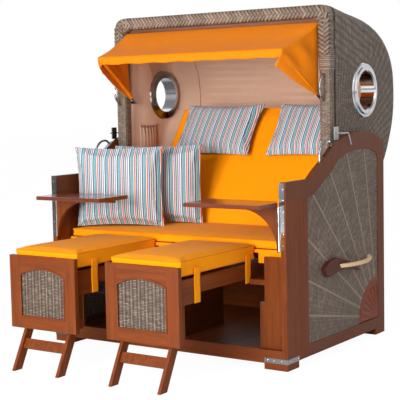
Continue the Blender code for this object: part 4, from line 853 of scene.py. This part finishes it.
# The hood's rim. A stout rod is wrapped with cane down to the arm rail, bound in bands under the
# corners, and plaited over in a herringbone along the roof and a hand's width down each side.
RIM_WIDTH = 0.060
RIM_FRONT_Y = -0.004
ROOF_Z = 1.592
PLAIT_LOW_Z = 1.378
BAND_LOW_Z = 1.296
RIM_BEND = 0.036
PLAIT_STEP = 0.0200
LEAF_REACH = 0.033
LEAF_ADVANCE = 0.027
LEAF_WIDTH = 0.0185
LEAF_RISE = 0.0070
LEAF_TURN = 0.0275
WRAP_ROW = 0.0046
WRAP_RIB = 0.0150
LEAF_CUTS = (9, 12)
LEAF_SLANT = 0.75
BAND_WIDTH = 0.0084
BANDS = 10


def wrapped(tree, parts):
    row = sum_up(tree, "DIVIDE", parts["Z"], WRAP_ROW)
    round_post = sum_up(tree, "ADD", parts["X"], parts["Y"])
    high = sum_up(tree, "GREATER_THAN", parts["Z"], BAND_LOW_Z)
    run = choose(tree, high, sum_up(tree, "DIVIDE", round_post, WRAP_RIB), 0.0)
    return run, row, choose(tree, high, sum_up(tree, "FLOOR", row), 0.0)


paint(cane_finish("wrapped_rim_cane", wrapped, 0.0012), "hood_rim")

plait_cane, tree, shader = finish("plaited_cane", "wicker")
uv = place_node(tree, "ShaderNodeUVMap").outputs[0]
shade = place_node(tree, "ShaderNodeAttribute", attribute_name="tone").outputs["Fac"]
fibres = noise(tree, stretched(tree, uv, (3.0, 34.0, 1.0)), 1.0, 3.0, 0.6)
patches = noise(tree, own_place(tree), 70.0)
colour = mixed(tree, spread(tree, shade, 0.1, 0.9), CANE_DARK, CANE_PALE)
colour = mixed(tree, 0.45, colour, CANE)
colour = mixed(tree, spread(tree, fibres, 0.42, 0.70, 0.0, 0.45), colour, CANE_PALE)
colour = mixed(tree, spread(tree, fibres, 0.52, 0.34, 0.12, 0.7), colour, CANE_DARK)
colour = mixed(tree, spread(tree, patches, 0.5, 0.75, 0.0, 0.5), colour, CANE_RED)
# The long edges of each leaf, where it tucks under its neighbours, are painted nearly black: painted shade
# between the leaves.
edge = sum_up(tree, "ABSOLUTE", sum_up(tree, "MULTIPLY_ADD", axes(tree, uv)["Y"], 2.0, -1.0))
colour = mixed(tree, spread(tree, edge, 0.50, 0.92, 0.0, 0.92), colour, CANE_SHADE_IN_GAPS)
surface(shader, colour, spread(tree, fibres, 0.3, 0.7, 0.38, 0.58), fibres, 0.0008, 0.7)


def shaped_grid(name, columns, rows, shape):
    """A sheet added flat and then bent: shape takes how far along and how far across each point is."""
    all_off()
    bpy.ops.mesh.primitive_grid_add(x_subdivisions=columns, y_subdivisions=rows, size=1.0)
    sheet = bpy.context.object
    sheet.name = sheet.data.name = name
    for vert in sheet.data.vertices:
        vert.co = shape(vert.co.x + 0.5, vert.co.y + 0.5)
    sheet.data.shade_smooth()
    return sheet


def leaf_shape(hand):
    start = 0.0 if hand > 0 else PLAIT_STEP / 2

    def shape(along, across):
        slant = LEAF_WIDTH * (across - 0.5) * LEAF_SLANT
        strands = 0.0009 * abs(sin(3 * pi * across))
        bulge = LEAF_RISE * sin(pi * (0.08 + 0.84 * along)) ** 0.7 - 0.0062 * abs(2 * across - 1) ** 2.4
        wide = LEAF_REACH * (1 - along) - 0.003 * along + slant
        tuck = 0.006 * max(0.0, 0.22 - along) / 0.22 + (0.003 if along > 0.9 else 0.0)
        over_edge = max(0.0, wide - LEAF_TURN)
        wide = min(wide, LEAF_TURN) + 0.12 * over_edge
        high = bulge + strands - tuck - 1.5 * over_edge
        return Vector((LEAF_ADVANCE * along + slant + start, hand * wide, high))
    return shape


def roof_leaf_shape(along, across):
    strands = 0.0007 * abs(sin(3 * pi * across))
    bulge = 0.0042 * sin(pi * along) ** 0.5 - 0.0040 * abs(2 * across - 1) ** 2.4
    slant = LEAF_WIDTH * (across - 0.5) * LEAF_SLANT
    return Vector((LEAF_ADVANCE * along + slant, -0.048 * along - 0.004, bulge + strands - 0.0015))


def joined(name, *pieces):
    only(pieces[0])
    for piece in pieces[1:]:
        piece.select_set(True)
    bpy.ops.object.join()
    pieces[0].name = pieces[0].data.name = name
    return pieces[0]


def repeated(name, unit, places):
    """Copies of one small piece, each at its place and with its own shade, as one piece. The first
    one is taken away."""
    shape = bmesh.new()
    for place in places:
        start = len(shape.verts)
        shape.from_mesh(unit.data)
        shape.verts.ensure_lookup_table()
        bmesh.ops.transform(shape, matrix=place, verts=shape.verts[start:])
    mesh = bpy.data.meshes.new(name)
    shape.to_mesh(mesh)
    shape.free()
    shades = mesh.attributes.new("tone", "FLOAT", "POINT")
    each = len(unit.data.vertices)
    for count, spot in enumerate(shades.data):
        spot.value = (sin((count // each + 1) * 12.9898) * 43758.5453) % 1.0
    bpy.data.objects.remove(unit, do_unlink=True)
    return added(name, mesh)


def rim_line(low_z, step):
    """Points and headings along the middle of the rim, from the left side over the roof to the right."""
    half = HOOD_HALF - RIM_WIDTH / 2
    top = ROOF_Z - RIM_WIDTH / 2
    rise = top - RIM_BEND - low_z
    flat = 2 * (half - RIM_BEND)
    bend = RIM_BEND * pi / 2
    whole = 2 * rise + 2 * bend + flat
    count = round(whole / step)
    for number in range(count):
        far = (number + 0.5) * whole / count
        if far < rise:
            yield Vector((-half, 0, low_z + far)), pi / 2
        elif far < rise + bend:
            turn = (far - rise) / RIM_BEND
            spot = (-half + RIM_BEND * (1 - cos(turn)), 0, top - RIM_BEND * (1 - sin(turn)))
            yield Vector(spot), pi / 2 - turn
        elif far < rise + bend + flat:
            yield Vector((-half + RIM_BEND + far - rise - bend, 0, top)), 0.0
        elif far < rise + 2 * bend + flat:
            turn = (far - rise - bend - flat) / RIM_BEND
            yield Vector((half - RIM_BEND * (1 - sin(turn)), 0, top - RIM_BEND * (1 - cos(turn)))), -turn
        else:
            yield Vector((half, 0, top - RIM_BEND - (far - rise - 2 * bend - flat))), -pi / 2


BAND_LOOP = rounded_loop(RIM_WIDTH + 0.003, 0.057, 0.014, 5)


def band_shape(along, across):
    """One turn of cane round the rim's post, flat on its faces and round at its corners."""
    place = along * len(BAND_LOOP)
    first = BAND_LOOP[int(place) % len(BAND_LOOP)]
    second = BAND_LOOP[(int(place) + 1) % len(BAND_LOOP)]
    spot = first.lerp(second, place % 1.0)
    away = spot.normalized() * (0.0016 * (1 - (2 * across - 1) ** 2) - 0.0012)
    return Vector((spot.x + away.x, spot.y + away.y, BAND_WIDTH * (across - 0.5)))


front_places, outside_places = [], []
toward = Vector((0, -1, 0))
for point, heading in rim_line(PLAIT_LOW_Z, PLAIT_STEP):
    along = Vector((cos(heading), 0, sin(heading)))
    out = Vector((-sin(heading), 0, cos(heading)))
    edge = point + out * (RIM_WIDTH / 2 - 0.001)
    front_places.append(placed(along, out, toward, (point.x, RIM_FRONT_Y, point.z)))
    outside_places.append(placed(along, toward, out, (edge.x, RIM_FRONT_Y, edge.z)))
band_places = [Matrix.Translation((hand * (HOOD_HALF - RIM_WIDTH / 2), RIM_FRONT_Y + 0.027,
                                   BAND_LOW_Z + 0.0045 + number * BAND_WIDTH))
               for side, hand in SIDES for number in range(BANDS)]
leaves = joined("plait_leaf", shaped_grid("leaf_up", *LEAF_CUTS, leaf_shape(1)),
                shaped_grid("leaf_down", *LEAF_CUTS, leaf_shape(-1)))
wide_leaf = shaped_grid("roof_leaf", *LEAF_CUTS, roof_leaf_shape)
band = shaped_grid("band", len(BAND_LOOP), 4, band_shape)
for name, unit, places in (("rim_plait", leaves, front_places),
                           ("rim_plait_outside", wide_leaf, outside_places),
                           ("rim_bands", band, band_places)):
    laid = repeated(name, unit, places)
    laid.data.shade_smooth()
    dress(laid, plait_cane, "hood")


# The portholes and the pull grips. Each porthole is a turned ring of polished steel, screwed
# through the cane with a flange on both sides. The grips are bent rod with a foot at each end.
STEEL = srgb(226, 228, 230)
STEEL_DULL = srgb(196, 200, 206)
STEEL_PAINTED_REFLECTION = srgb(64, 66, 72)
STEEL_PITTED = srgb(120, 110, 100)
PORT_Y = 0.350
PORT_Z = 1.200
PORT_FACE_X = 0.6253
PORT_SCREW_REACH = 0.122
PORT_LINE = ((0.1324, 0.6253), (0.1278, 0.6307), (0.1174, 0.6307), (0.1122, 0.6379),
             (0.0968, 0.6379), (0.0915, 0.6320), (0.0915, 0.5592), (0.1120, 0.5656),
             (0.1278, 0.5660), (0.1324, 0.5714), (0.1116, 0.5714), (0.1116, 0.6253))

polished_steel, tree, shader = finish("polished_steel", "chrome", {"Metallic": 1.0})
place = own_place(tree)
smears = noise(tree, place, 24.0, 3.0)
lines = noise(tree, stretched(tree, place, (900.0, 120.0, 40.0)))
pits = noise(tree, place, 420.0, 1.0)
# A dark band where the surface turns away from the view, set by the facing weight, is a painted reflection on
# the polished steel.
facing_share = place_node(tree, "ShaderNodeLayerWeight", {"Blend": 0.5}).outputs["Facing"]
band = sum_up(tree, "MULTIPLY", spread(tree, facing_share, 0.08, 0.24), spread(tree, facing_share, 0.62, 0.46))
tint = mixed(tree, spread(tree, smears, 0.45, 0.75, 0.0, 0.5), STEEL, STEEL_DULL)
tint = mixed(tree, sum_up(tree, "MULTIPLY", band, 0.8), tint, STEEL_PAINTED_REFLECTION)
tint = mixed(tree, spread(tree, pits, 0.66, 0.8, 0.0, 0.35), tint, STEEL_PITTED)
surface(shader, tint, spread(tree, smears, 0.35, 0.75, 0.06, 0.24), lines, 0.00004, 0.4)
paint(polished_steel, "canopy_bow", *both(
    "porthole", "hood_grip", "corner_strap_front", "table_hinge", "arm_loop", "recline_lever"))


def port_shape(hand):
    def shape(along, across):
        radius, reach = PORT_LINE[int(across * len(PORT_LINE) + 0.001) % len(PORT_LINE)]
        turn = 2 * pi * along
        return Vector((hand * reach, PORT_Y + radius * cos(turn), PORT_Z + radius * sin(turn)))
    return shape


for side, hand in SIDES:
    ring = weld(shaped_grid("porthole_ring_" + side, 96, len(PORT_LINE), port_shape(hand)))
    bpy.ops.object.shade_smooth_by_angle(angle=radians(28))
    dress(ring, polished_steel, "hood")


def screw_head(radius, rise):
    """A raised head with a round hollow in its top, its foot on the origin and its top up Z."""
    all_off()
    bpy.ops.mesh.primitive_cylinder_add(vertices=16, radius=radius, depth=rise, location=(0, 0, rise / 2))
    head = bpy.context.object
    bpy.ops.object.mode_set(mode="EDIT")
    bpy.ops.mesh.select_all(action="DESELECT")
    shape = bmesh.from_edit_mesh(head.data)
    for face in shape.faces:
        face.select = face.normal.z > 0.9
    bmesh.update_edit_mesh(head.data)
    bpy.ops.mesh.inset(thickness=radius * 0.35)
    bpy.ops.transform.translate(value=(0, 0, rise * 0.35))
    bpy.ops.mesh.inset(thickness=radius * 0.4)
    bpy.ops.transform.translate(value=(0, 0, -rise * 0.5))
    bpy.ops.object.mode_set(mode="OBJECT")
    head.data.shade_smooth()
    return head


def facing(point, normal):
    place = Vector(normal).to_track_quat("Z", "Y").to_matrix().to_4x4()
    place.translation = point
    return place


def screws(name, radius, rise, places, body):
    dress(repeated(name, screw_head(radius, rise), places), polished_steel, body)


port_screws = []
for side, hand in SIDES:
    for number in range(8):
        turn = pi * (number + 0.5) / 4
        spot = (hand * (PORT_FACE_X + 0.005), PORT_Y + PORT_SCREW_REACH * cos(turn),
                PORT_Z + PORT_SCREW_REACH * sin(turn))
        port_screws.append(facing(spot, (hand, 0, 0)))
screws("porthole_screws", 0.0034, 0.0016, port_screws, "hood")


# The lining. Beige canvas is glued to thin boards inside the hood, in one piece for each cheek and
# one for the back and roof, with a welt where they meet.
LINING = srgb(224, 187, 162)
LINING_DEEP = srgb(200, 160, 135)
ROOM_HALF = 0.5717
ROOM_CENTRE = (0.25, 1.05)

lining_canvas = cloth_finish("lining_canvas", "lining_fabric", LINING, LINING_DEEP, 0.0008, 0.016)
lining = node_copy("hood_lining", "lining_canvas")
lay(lining, smooth=False)
bpy.ops.object.shade_smooth_by_angle(angle=radians(35))
dress(lining, lining_canvas, "hood")
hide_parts("hood_lining")

inner_points = []
for vert in lining.data.vertices:
    x, y, z = vert.co
    at_cheek = ROOM_HALF - 0.004 < x < ROOM_HALF + 0.004 and y > 0.20 and z < 1.575
    if at_cheek and hypot(y - PORT_Y, z - PORT_Z) > 0.16:
        inner_points.append((atan2(z - ROOM_CENTRE[1], y - ROOM_CENTRE[0]), y, z))
inner_points.sort()
for side, hand in SIDES:
    run = [Vector((hand * (ROOM_HALF - 0.0015), ROOM_CENTRE[0] + (y - ROOM_CENTRE[0]) * 0.997,
                   ROOM_CENTRE[1] + (z - ROOM_CENTRE[1]) * 0.997)) for angle, y, z in inner_points]
    seam = lay(cord_along("lining_welt_" + side, run, 0.0022, closed=False))
    dress(seam, lining_canvas, "hood")


# The magazine pocket. A rectangle of the lining's canvas is gathered on an elastic hem and sewn
# to the left cheek by its sides and its foot.
POCKET_FACE_X = -0.5714
POCKET_WIDE = (0.120, 0.270)
POCKET_HIGH = (0.905, 1.045)
POCKET_BULGE = 0.020


def pocket_shape(along, across):
    y = POCKET_WIDE[0] + along * (POCKET_WIDE[1] - POCKET_WIDE[0])
    z = POCKET_HIGH[0] + across * (POCKET_HIGH[1] - POCKET_HIGH[0]) - 0.008 * across * sin(pi * along)
    belly = sin(pi * along) ** 0.6 * (0.25 + 0.75 * sin(pi * min(1.0, 0.1 + 0.9 * across)) ** 0.8)
    pleat = 0.0026 * sin(2 * pi * 6 * along + 0.8 * across) * (0.35 + 0.65 * across) * sin(pi * along) ** 0.4
    return Vector((POCKET_FACE_X + 0.001 + POCKET_BULGE * 0.5 * belly + pleat + 0.0026, y, z))


pocket = lay(modified(shaped_grid("magazine_pocket_cloth", 48, 24, pocket_shape), "SOLIDIFY", thickness=0.0016))
dress(pocket, lining_canvas, "hood")
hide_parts("magazine_pocket")
hem_line = [pocket_shape(share / 40, 1.0) + Vector((0.0008, 0, 0)) for share in range(41)]
pocket_hem = lay(cord_along("pocket_hem", hem_line, 0.0032, closed=False))
dress(pocket_hem, lining_canvas, "hood")


# The canopy. One piece of orange canvas is tacked under the rim, stretched over a bow of bent
# steel in a cloth sleeve, and folded in at both sides in a flap that hangs from the bow's arms.
BOW_PIVOT = Vector((0.0, 0.058, 1.163))
BOW_BAR = Vector((0.0, -0.253, 1.375))
BOW_HALF = 0.512
CANOPY_BACK = Vector((0.0, 0.018, 1.515))
CANOPY_HALF = 0.558
CANOPY_LIFT = 0.012
CANOPY_FLAP = 0.335
CANOPY_HEM = 0.036

CANOPY_ORANGE = srgb(240, 134, 6)
CANOPY_DEEP = srgb(218, 110, 2)
CANOPY_SIDE = 0.20

canopy_canvas = cloth_finish("canopy_canvas", "canopy_fabric", CANOPY_ORANGE, CANOPY_DEEP, 0.004)


def canopy_shape(along, across):
    """Along runs from one flap's hem over the canopy to the other's, across from the hood to past the bar."""
    flap = CANOPY_SIDE
    share = min(across / 0.90, 1.0)
    over_bar = max(0.0, across - 0.90) / 0.10
    half = CANOPY_HALF + (BOW_HALF + CANOPY_LIFT - CANOPY_HALF) * share
    y = CANOPY_BACK.y + (BOW_BAR.y - CANOPY_LIFT - CANOPY_BACK.y) * share
    sag = 0.013 * sin(pi * share)
    z = CANOPY_BACK.z + (BOW_BAR.z + CANOPY_LIFT - CANOPY_BACK.z) * share - sag
    depth = CANOPY_FLAP * (1 - share) + 0.066 * share
    if along < flap or along > 1 - flap:
        hand = -1 if along < flap else 1
        down = (flap - along if along < flap else along - 1 + flap) / flap
        corner = sin(pi * min(1.0, down * 1.4)) * sin(pi * share)
        fold = 0.010 * sin(5.2 * pi * (down * 0.6 + share * 0.7)) + 0.004 * sin(13 * down + 9 * share)
        fold *= corner
        tuck = 0.030 * down ** 2 * share
        x = hand * (half - tuck + fold * 0.8 - 0.010 * down * (1 - share))
        y -= 0.010 * share * down - 0.006 * sin(8 * down) * (1 - share) * down
        z -= depth * down
        if over_bar > 0:
            x -= hand * 0.016 * over_bar * (1 - down)
            y += 0.012 * over_bar
            z -= CANOPY_HEM * over_bar * (1 - 0.5 * down)
        return Vector((x, y, z))
    middle = 2 * (along - flap) / (1 - 2 * flap) - 1
    near_corner = max(0.0, abs(middle) - 0.62) / 0.38
    pull = 0.0045 * sin(16 * abs(middle) + 7 * share) * near_corner * sin(pi * share)
    ripple = 0.0016 * sin(9 * middle + 3 * share) * sin(pi * share)
    z += pull + ripple
    x = half * middle
    if over_bar > 0:
        at_end = max(0.0, abs(middle) - 0.93) / 0.07
        z -= CANOPY_HEM * over_bar + 0.002 * sin(22 * middle) * over_bar * (1 - at_end)
        y -= (0.003 * sin(pi * over_bar) + 0.001 * sin(17 * middle) * over_bar) * (1 - at_end)
        y += 0.012 * over_bar * at_end
        x -= (1 if middle > 0 else -1) * 0.016 * over_bar * at_end
    return Vector((x, y, z))


canopy = shaped_grid("canopy_sheet", 150, 54, canopy_shape)
lay(modified(canopy, "SOLIDIFY", thickness=0.0018, offset=-1.0))
canopy.data.materials.clear()
canopy.data.materials.append(canopy_canvas)
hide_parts("canopy_cloth")
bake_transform(canopy)

for side, hand in SIDES:
    start = Vector((hand * BOW_HALF, BOW_BAR.y + 0.020, BOW_BAR.z - 0.014))
    end = Vector((hand * 0.543, BOW_PIVOT.y, BOW_PIVOT.z))
    run = [start.lerp(end, share / 30 * 0.86) for share in range(31)]
    sleeve = cord_along("bow_sleeve_" + side, run, 0.0106, closed=False, sides=4)
    for vert in sleeve.data.vertices:
        vert.co.x += 0.0010 * sin(310 * vert.co.z + 90 * vert.co.x)
    dress(lay(sleeve), canopy_canvas, "canopy")


# The carved corners. A quarter round of wood is screwed over the foot of each side panel, with
# flutes cut in it that fan out from the corner like a shell.
CARVE_FOOT = (0.410, 0.088)
CARVE_FACE_X = 0.6600
CARVE_REACH = 0.201
CARVE_FLUTES = 7
CARVE_DEPTH = 0.0050
CARVE_THICK = 0.012
carved_wood = wood_finish("carved_wood", ALONG_Y, srgb(152, 78, 44), srgb(92, 38, 20), srgb(134, 58, 34))


def carve_shape(along, across):
    turn = pi / 2 + pi / 2 * along
    reach = CARVE_REACH * across
    flute = abs(sin(pi * (along * CARVE_FLUTES + 0.5)))
    inside = max(0.0, min(1.0, (across - 0.30) / 0.10)) * max(0.0, min(1.0, (0.90 - across) / 0.06))
    depth = CARVE_DEPTH * (1 - flute ** 2.2) * inside * (0.4 + 0.6 * across)
    rim = -0.0035 * max(0.0, (across - 0.965) / 0.035)
    return Vector((CARVE_FACE_X - 0.0002 - depth + rim,
                   CARVE_FOOT[0] + reach * cos(turn), CARVE_FOOT[1] + reach * sin(turn)))


for side, hand in SIDES:
    carving = weld(shaped_grid("carved_shell_" + side, 98, 40, carve_shape))
    modified(carving, "SOLIDIFY", thickness=CARVE_THICK, offset=1.0)
    over = max(vert.co.x for vert in carving.data.vertices) - CARVE_FACE_X
    carving.data.transform(Matrix.Translation((-over, 0, 0)))
    if hand < 0:
        carving.data.transform(Matrix.Scale(-1, 4, (1, 0, 0)))
        carving.data.flip_normals()
    dress(carving, carved_wood, "base")
    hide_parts("carved_corner_" + side)


# The rope handles. A shaped hardwood block is bolted to each side panel. A three-strand rope runs
# from a hole in it to a hole in the panel behind, and is knotted inside.
BLOCK_FACE_X = 0.6798
PANEL_FACE_X = 0.6573
ROPE_START_Y = -0.020
ROPE_RUN = 0.330
ROPE_BOW = 0.050
ROPE_Z = 0.400
ROPE_STEPS = 120
STRANDS = 3
STRAND_RADIUS = 0.0052
STRAND_OFFSET = 0.0052
ROPE_LAY = 0.040
ROPE = srgb(246, 218, 172)
ROPE_DARK = srgb(206, 168, 120)
HANDLE_WOOD = (srgb(104, 54, 36), srgb(58, 26, 18), srgb(84, 38, 28))

rope_fibre, tree, shader = finish("laid_rope", "rope", {"Sheen Weight": 0.2})
place = own_place(tree)
hairs = noise(tree, stretched(tree, place, (700.0, 160.0, 700.0)), 1.0, 3.0, 0.6)
dust = spread(tree, noise(tree, place, 60.0), 0.5, 0.8, 0.0, 0.35)
colour = mixed(tree, spread(tree, hairs, 0.35, 0.68), ROPE_DARK, ROPE)
colour = mixed(tree, dust, colour, ROPE_DARK)
surface(shader, colour, spread(tree, hairs, 0.3, 0.7, 0.7, 0.9), hairs, 0.0007, 0.8)


def rope_middle(share):
    reach = BLOCK_FACE_X + (PANEL_FACE_X - BLOCK_FACE_X) * share + ROPE_BOW * sin(pi * share) ** 0.7
    reach -= 0.004 * (share < 0.01 or share > 0.99)
    return Vector((reach, ROPE_START_Y + ROPE_RUN * share, ROPE_Z))


def strand_line(hand, strand):
    """The middle of one strand, which turns round the middle of the rope."""
    points = []
    for step in range(ROPE_STEPS + 1):
        share = step / ROPE_STEPS
        heading = rope_middle(min(1.0, share + 0.004)) - rope_middle(max(0.0, share - 0.004))
        across = heading.normalized().cross(Vector((0, 0, 1))).normalized()
        turn = 2 * pi * (share * ROPE_RUN * 1.12 / ROPE_LAY + strand / STRANDS)
        spot = rope_middle(share) + STRAND_OFFSET * (cos(turn) * across + sin(turn) * Vector((0, 0, 1)))
        points.append(Vector((hand * spot.x, spot.y, spot.z)))
    return points


handle_wood = wood_finish("handle_wood", ALONG_Y, *HANDLE_WOOD)
for side, hand in SIDES:
    rope = joined("rope_" + side, *[
        cord_along(f"rope_strand_{side}_{strand}", strand_line(hand, strand), STRAND_RADIUS,
                   closed=False, sides=4) for strand in range(STRANDS)])
    dress(lay(rope), rope_fibre, "base")
    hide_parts("rope_handle_" + side)
    block = soft_copy("handle_block_" + side, "handle_block_soft_" + side, 0.0022, 8)
    block.data.shade_smooth()
    dress(block, handle_wood, "base")
    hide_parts("handle_block_" + side)


# The corner straps. A strip of plated steel is bent round each front foot and screwed on, three
# screws to a face, and the feet themselves are screwed up into the rails from below.
STRAP_SCREW_Z = 0.0405
strap_screws = []
for side, hand in SIDES:
    for offset in (0.030, 0.068, 0.100):
        strap_screws.append(facing((hand * (0.660 - offset), -0.4838, STRAP_SCREW_Z), (0, -1, 0)))
        strap_screws.append(facing((hand * 0.6620, -0.482 + offset * 0.9, STRAP_SCREW_Z), (hand, 0, 0)))
screws("strap_screws", 0.0042, 0.0018, strap_screws, "base")


# The swing tables. A waxed and varnished top is screwed to a bracket, which turns on a long piano
# hinge with its knuckles in front of the post.
TABLE_WOOD = (srgb(132, 62, 34), srgb(70, 28, 14), srgb(108, 42, 24))
HINGE_SCREWS = 6
HINGE_SCREW_X = 0.6475

paint(wood_finish("table_wood", ALONG_X, *TABLE_WOOD, coat=(0.8, 0.07)), *both("table_top"))
hinge_screws = []
for side, hand in SIDES:
    low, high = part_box("table_hinge_" + side)
    for number in range(HINGE_SCREWS):
        z = low.z + (high.z - low.z) * (number + 0.5) / HINGE_SCREWS
        hinge_screws.append(facing((hand * HINGE_SCREW_X, low.y + 0.0078, z), (0, -1, 0)))
screws("hinge_screws", 0.0030, 0.0014, hinge_screws, "base")


# The footrests. Each is a drawer with a framed front, filled with plain woven cane, and an orange
# pad is held on its deck by four short straps that button under the rails.
INFILL_ROW = 0.0066
INFILL_RIB = 0.0195
MOULD_Y = -0.9945
MOULD_BASE_Z = 0.237
MOULD_SPRING_Z = 0.420
MOULD_RISE = 0.032
MOULD_RADIUS = 0.0040
STRAP_WIDE = 0.043
STRAP_THICK = 0.0016
STRAP_TOP_Z = 0.492
STRAP_PLACES = ((-0.848, 0.344), (-0.4545, 0.365))
STRAP_EDGES = ((0.0965, -1), (0.4475, 1))


def plain_weave(tree, parts):
    return sum_up(tree, "DIVIDE", parts["X"], INFILL_RIB), sum_up(tree, "DIVIDE", parts["Z"], INFILL_ROW), 0.0


paint(cane_finish("woven_infill_cane", plain_weave, 0.0036, ribbed=0.9, pale=0.5), *both("footrest_infill"))

for side, hand in SIDES:
    middle = hand * REST_MIDDLE
    mould_line = [Vector((middle + edge * STILE_EDGE, MOULD_Y, MOULD_BASE_Z)) for edge in (-1, 1)]
    for i in range(25):
        arch = MOULD_RISE * sin(pi * i / 24) ** 0.8
        mould_line.append(Vector((middle + STILE_EDGE * (1 - i / 12), MOULD_Y, MOULD_SPRING_Z + arch)))
    mould = cord_along("panel_moulding_" + side, mould_line, MOULD_RADIUS, sides=6)
    mould.data.shade_smooth()
    dress(mould, wood_across, "footrest_" + side)


def strap_shape(x, away, y, low_z):
    """A strap runs down one side of the pad and stands off it further up, away from the pad."""
    def shape(along, across):
        z = low_z + (STRAP_TOP_Z - low_z) * across
        swell = 0.0045 * max(0.0, min(1.0, (z - 0.445) / 0.03)) + 0.0012 * sin(40 * z + 60 * y) * (1 - across)
        return Vector((x + away * (0.0022 + swell * 0.6), y + STRAP_WIDE * (along - 0.5), z))
    return shape


middle, size = node_middle("footrest_cushion_right")
rest_pad = box_pad("rest_pad_right", size, (0.010, 0.010, 0.012), 0.009, 0.005, 0.0080, 0.009,
                   (0.002, 0.002, 0.002))
rest_welt = joined("rest_welt_right", *welts("rest_welt", rest_pad, size, (("top", 0.36), ("bottom", -0.42))))
only(rest_pad)
twin_pad = added("rest_pad_left", rest_pad.data.copy())
twin_welt = added("rest_welt_left", rest_welt.data.copy())
for side, hand, pad, seam in (("right", 1, rest_pad, rest_welt), ("left", -1, twin_pad, twin_welt)):
    pad.data.name, seam.data.name = pad.name, seam.name
    place = Matrix.Translation((hand * middle.x, middle.y, middle.z))
    lay(pad, place)
    seam.data.transform(place)
    for piece, material in ((pad, orange_canvas), (seam, orange_welt)):
        dress(piece, material, "footrest_" + side)
        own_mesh(piece)
    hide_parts("footrest_cushion_" + side)
    strap = joined("rest_straps_" + side, *[
        shaped_grid("strap", 6, 30, strap_shape(hand * edge, hand * away, y, low_z))
        for edge, away in STRAP_EDGES for y, low_z in STRAP_PLACES])
    lay(modified(strap, "SOLIDIFY", thickness=STRAP_THICK, offset=0.0))
    dress(strap, orange_canvas, "footrest_" + side)
    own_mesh(strap)
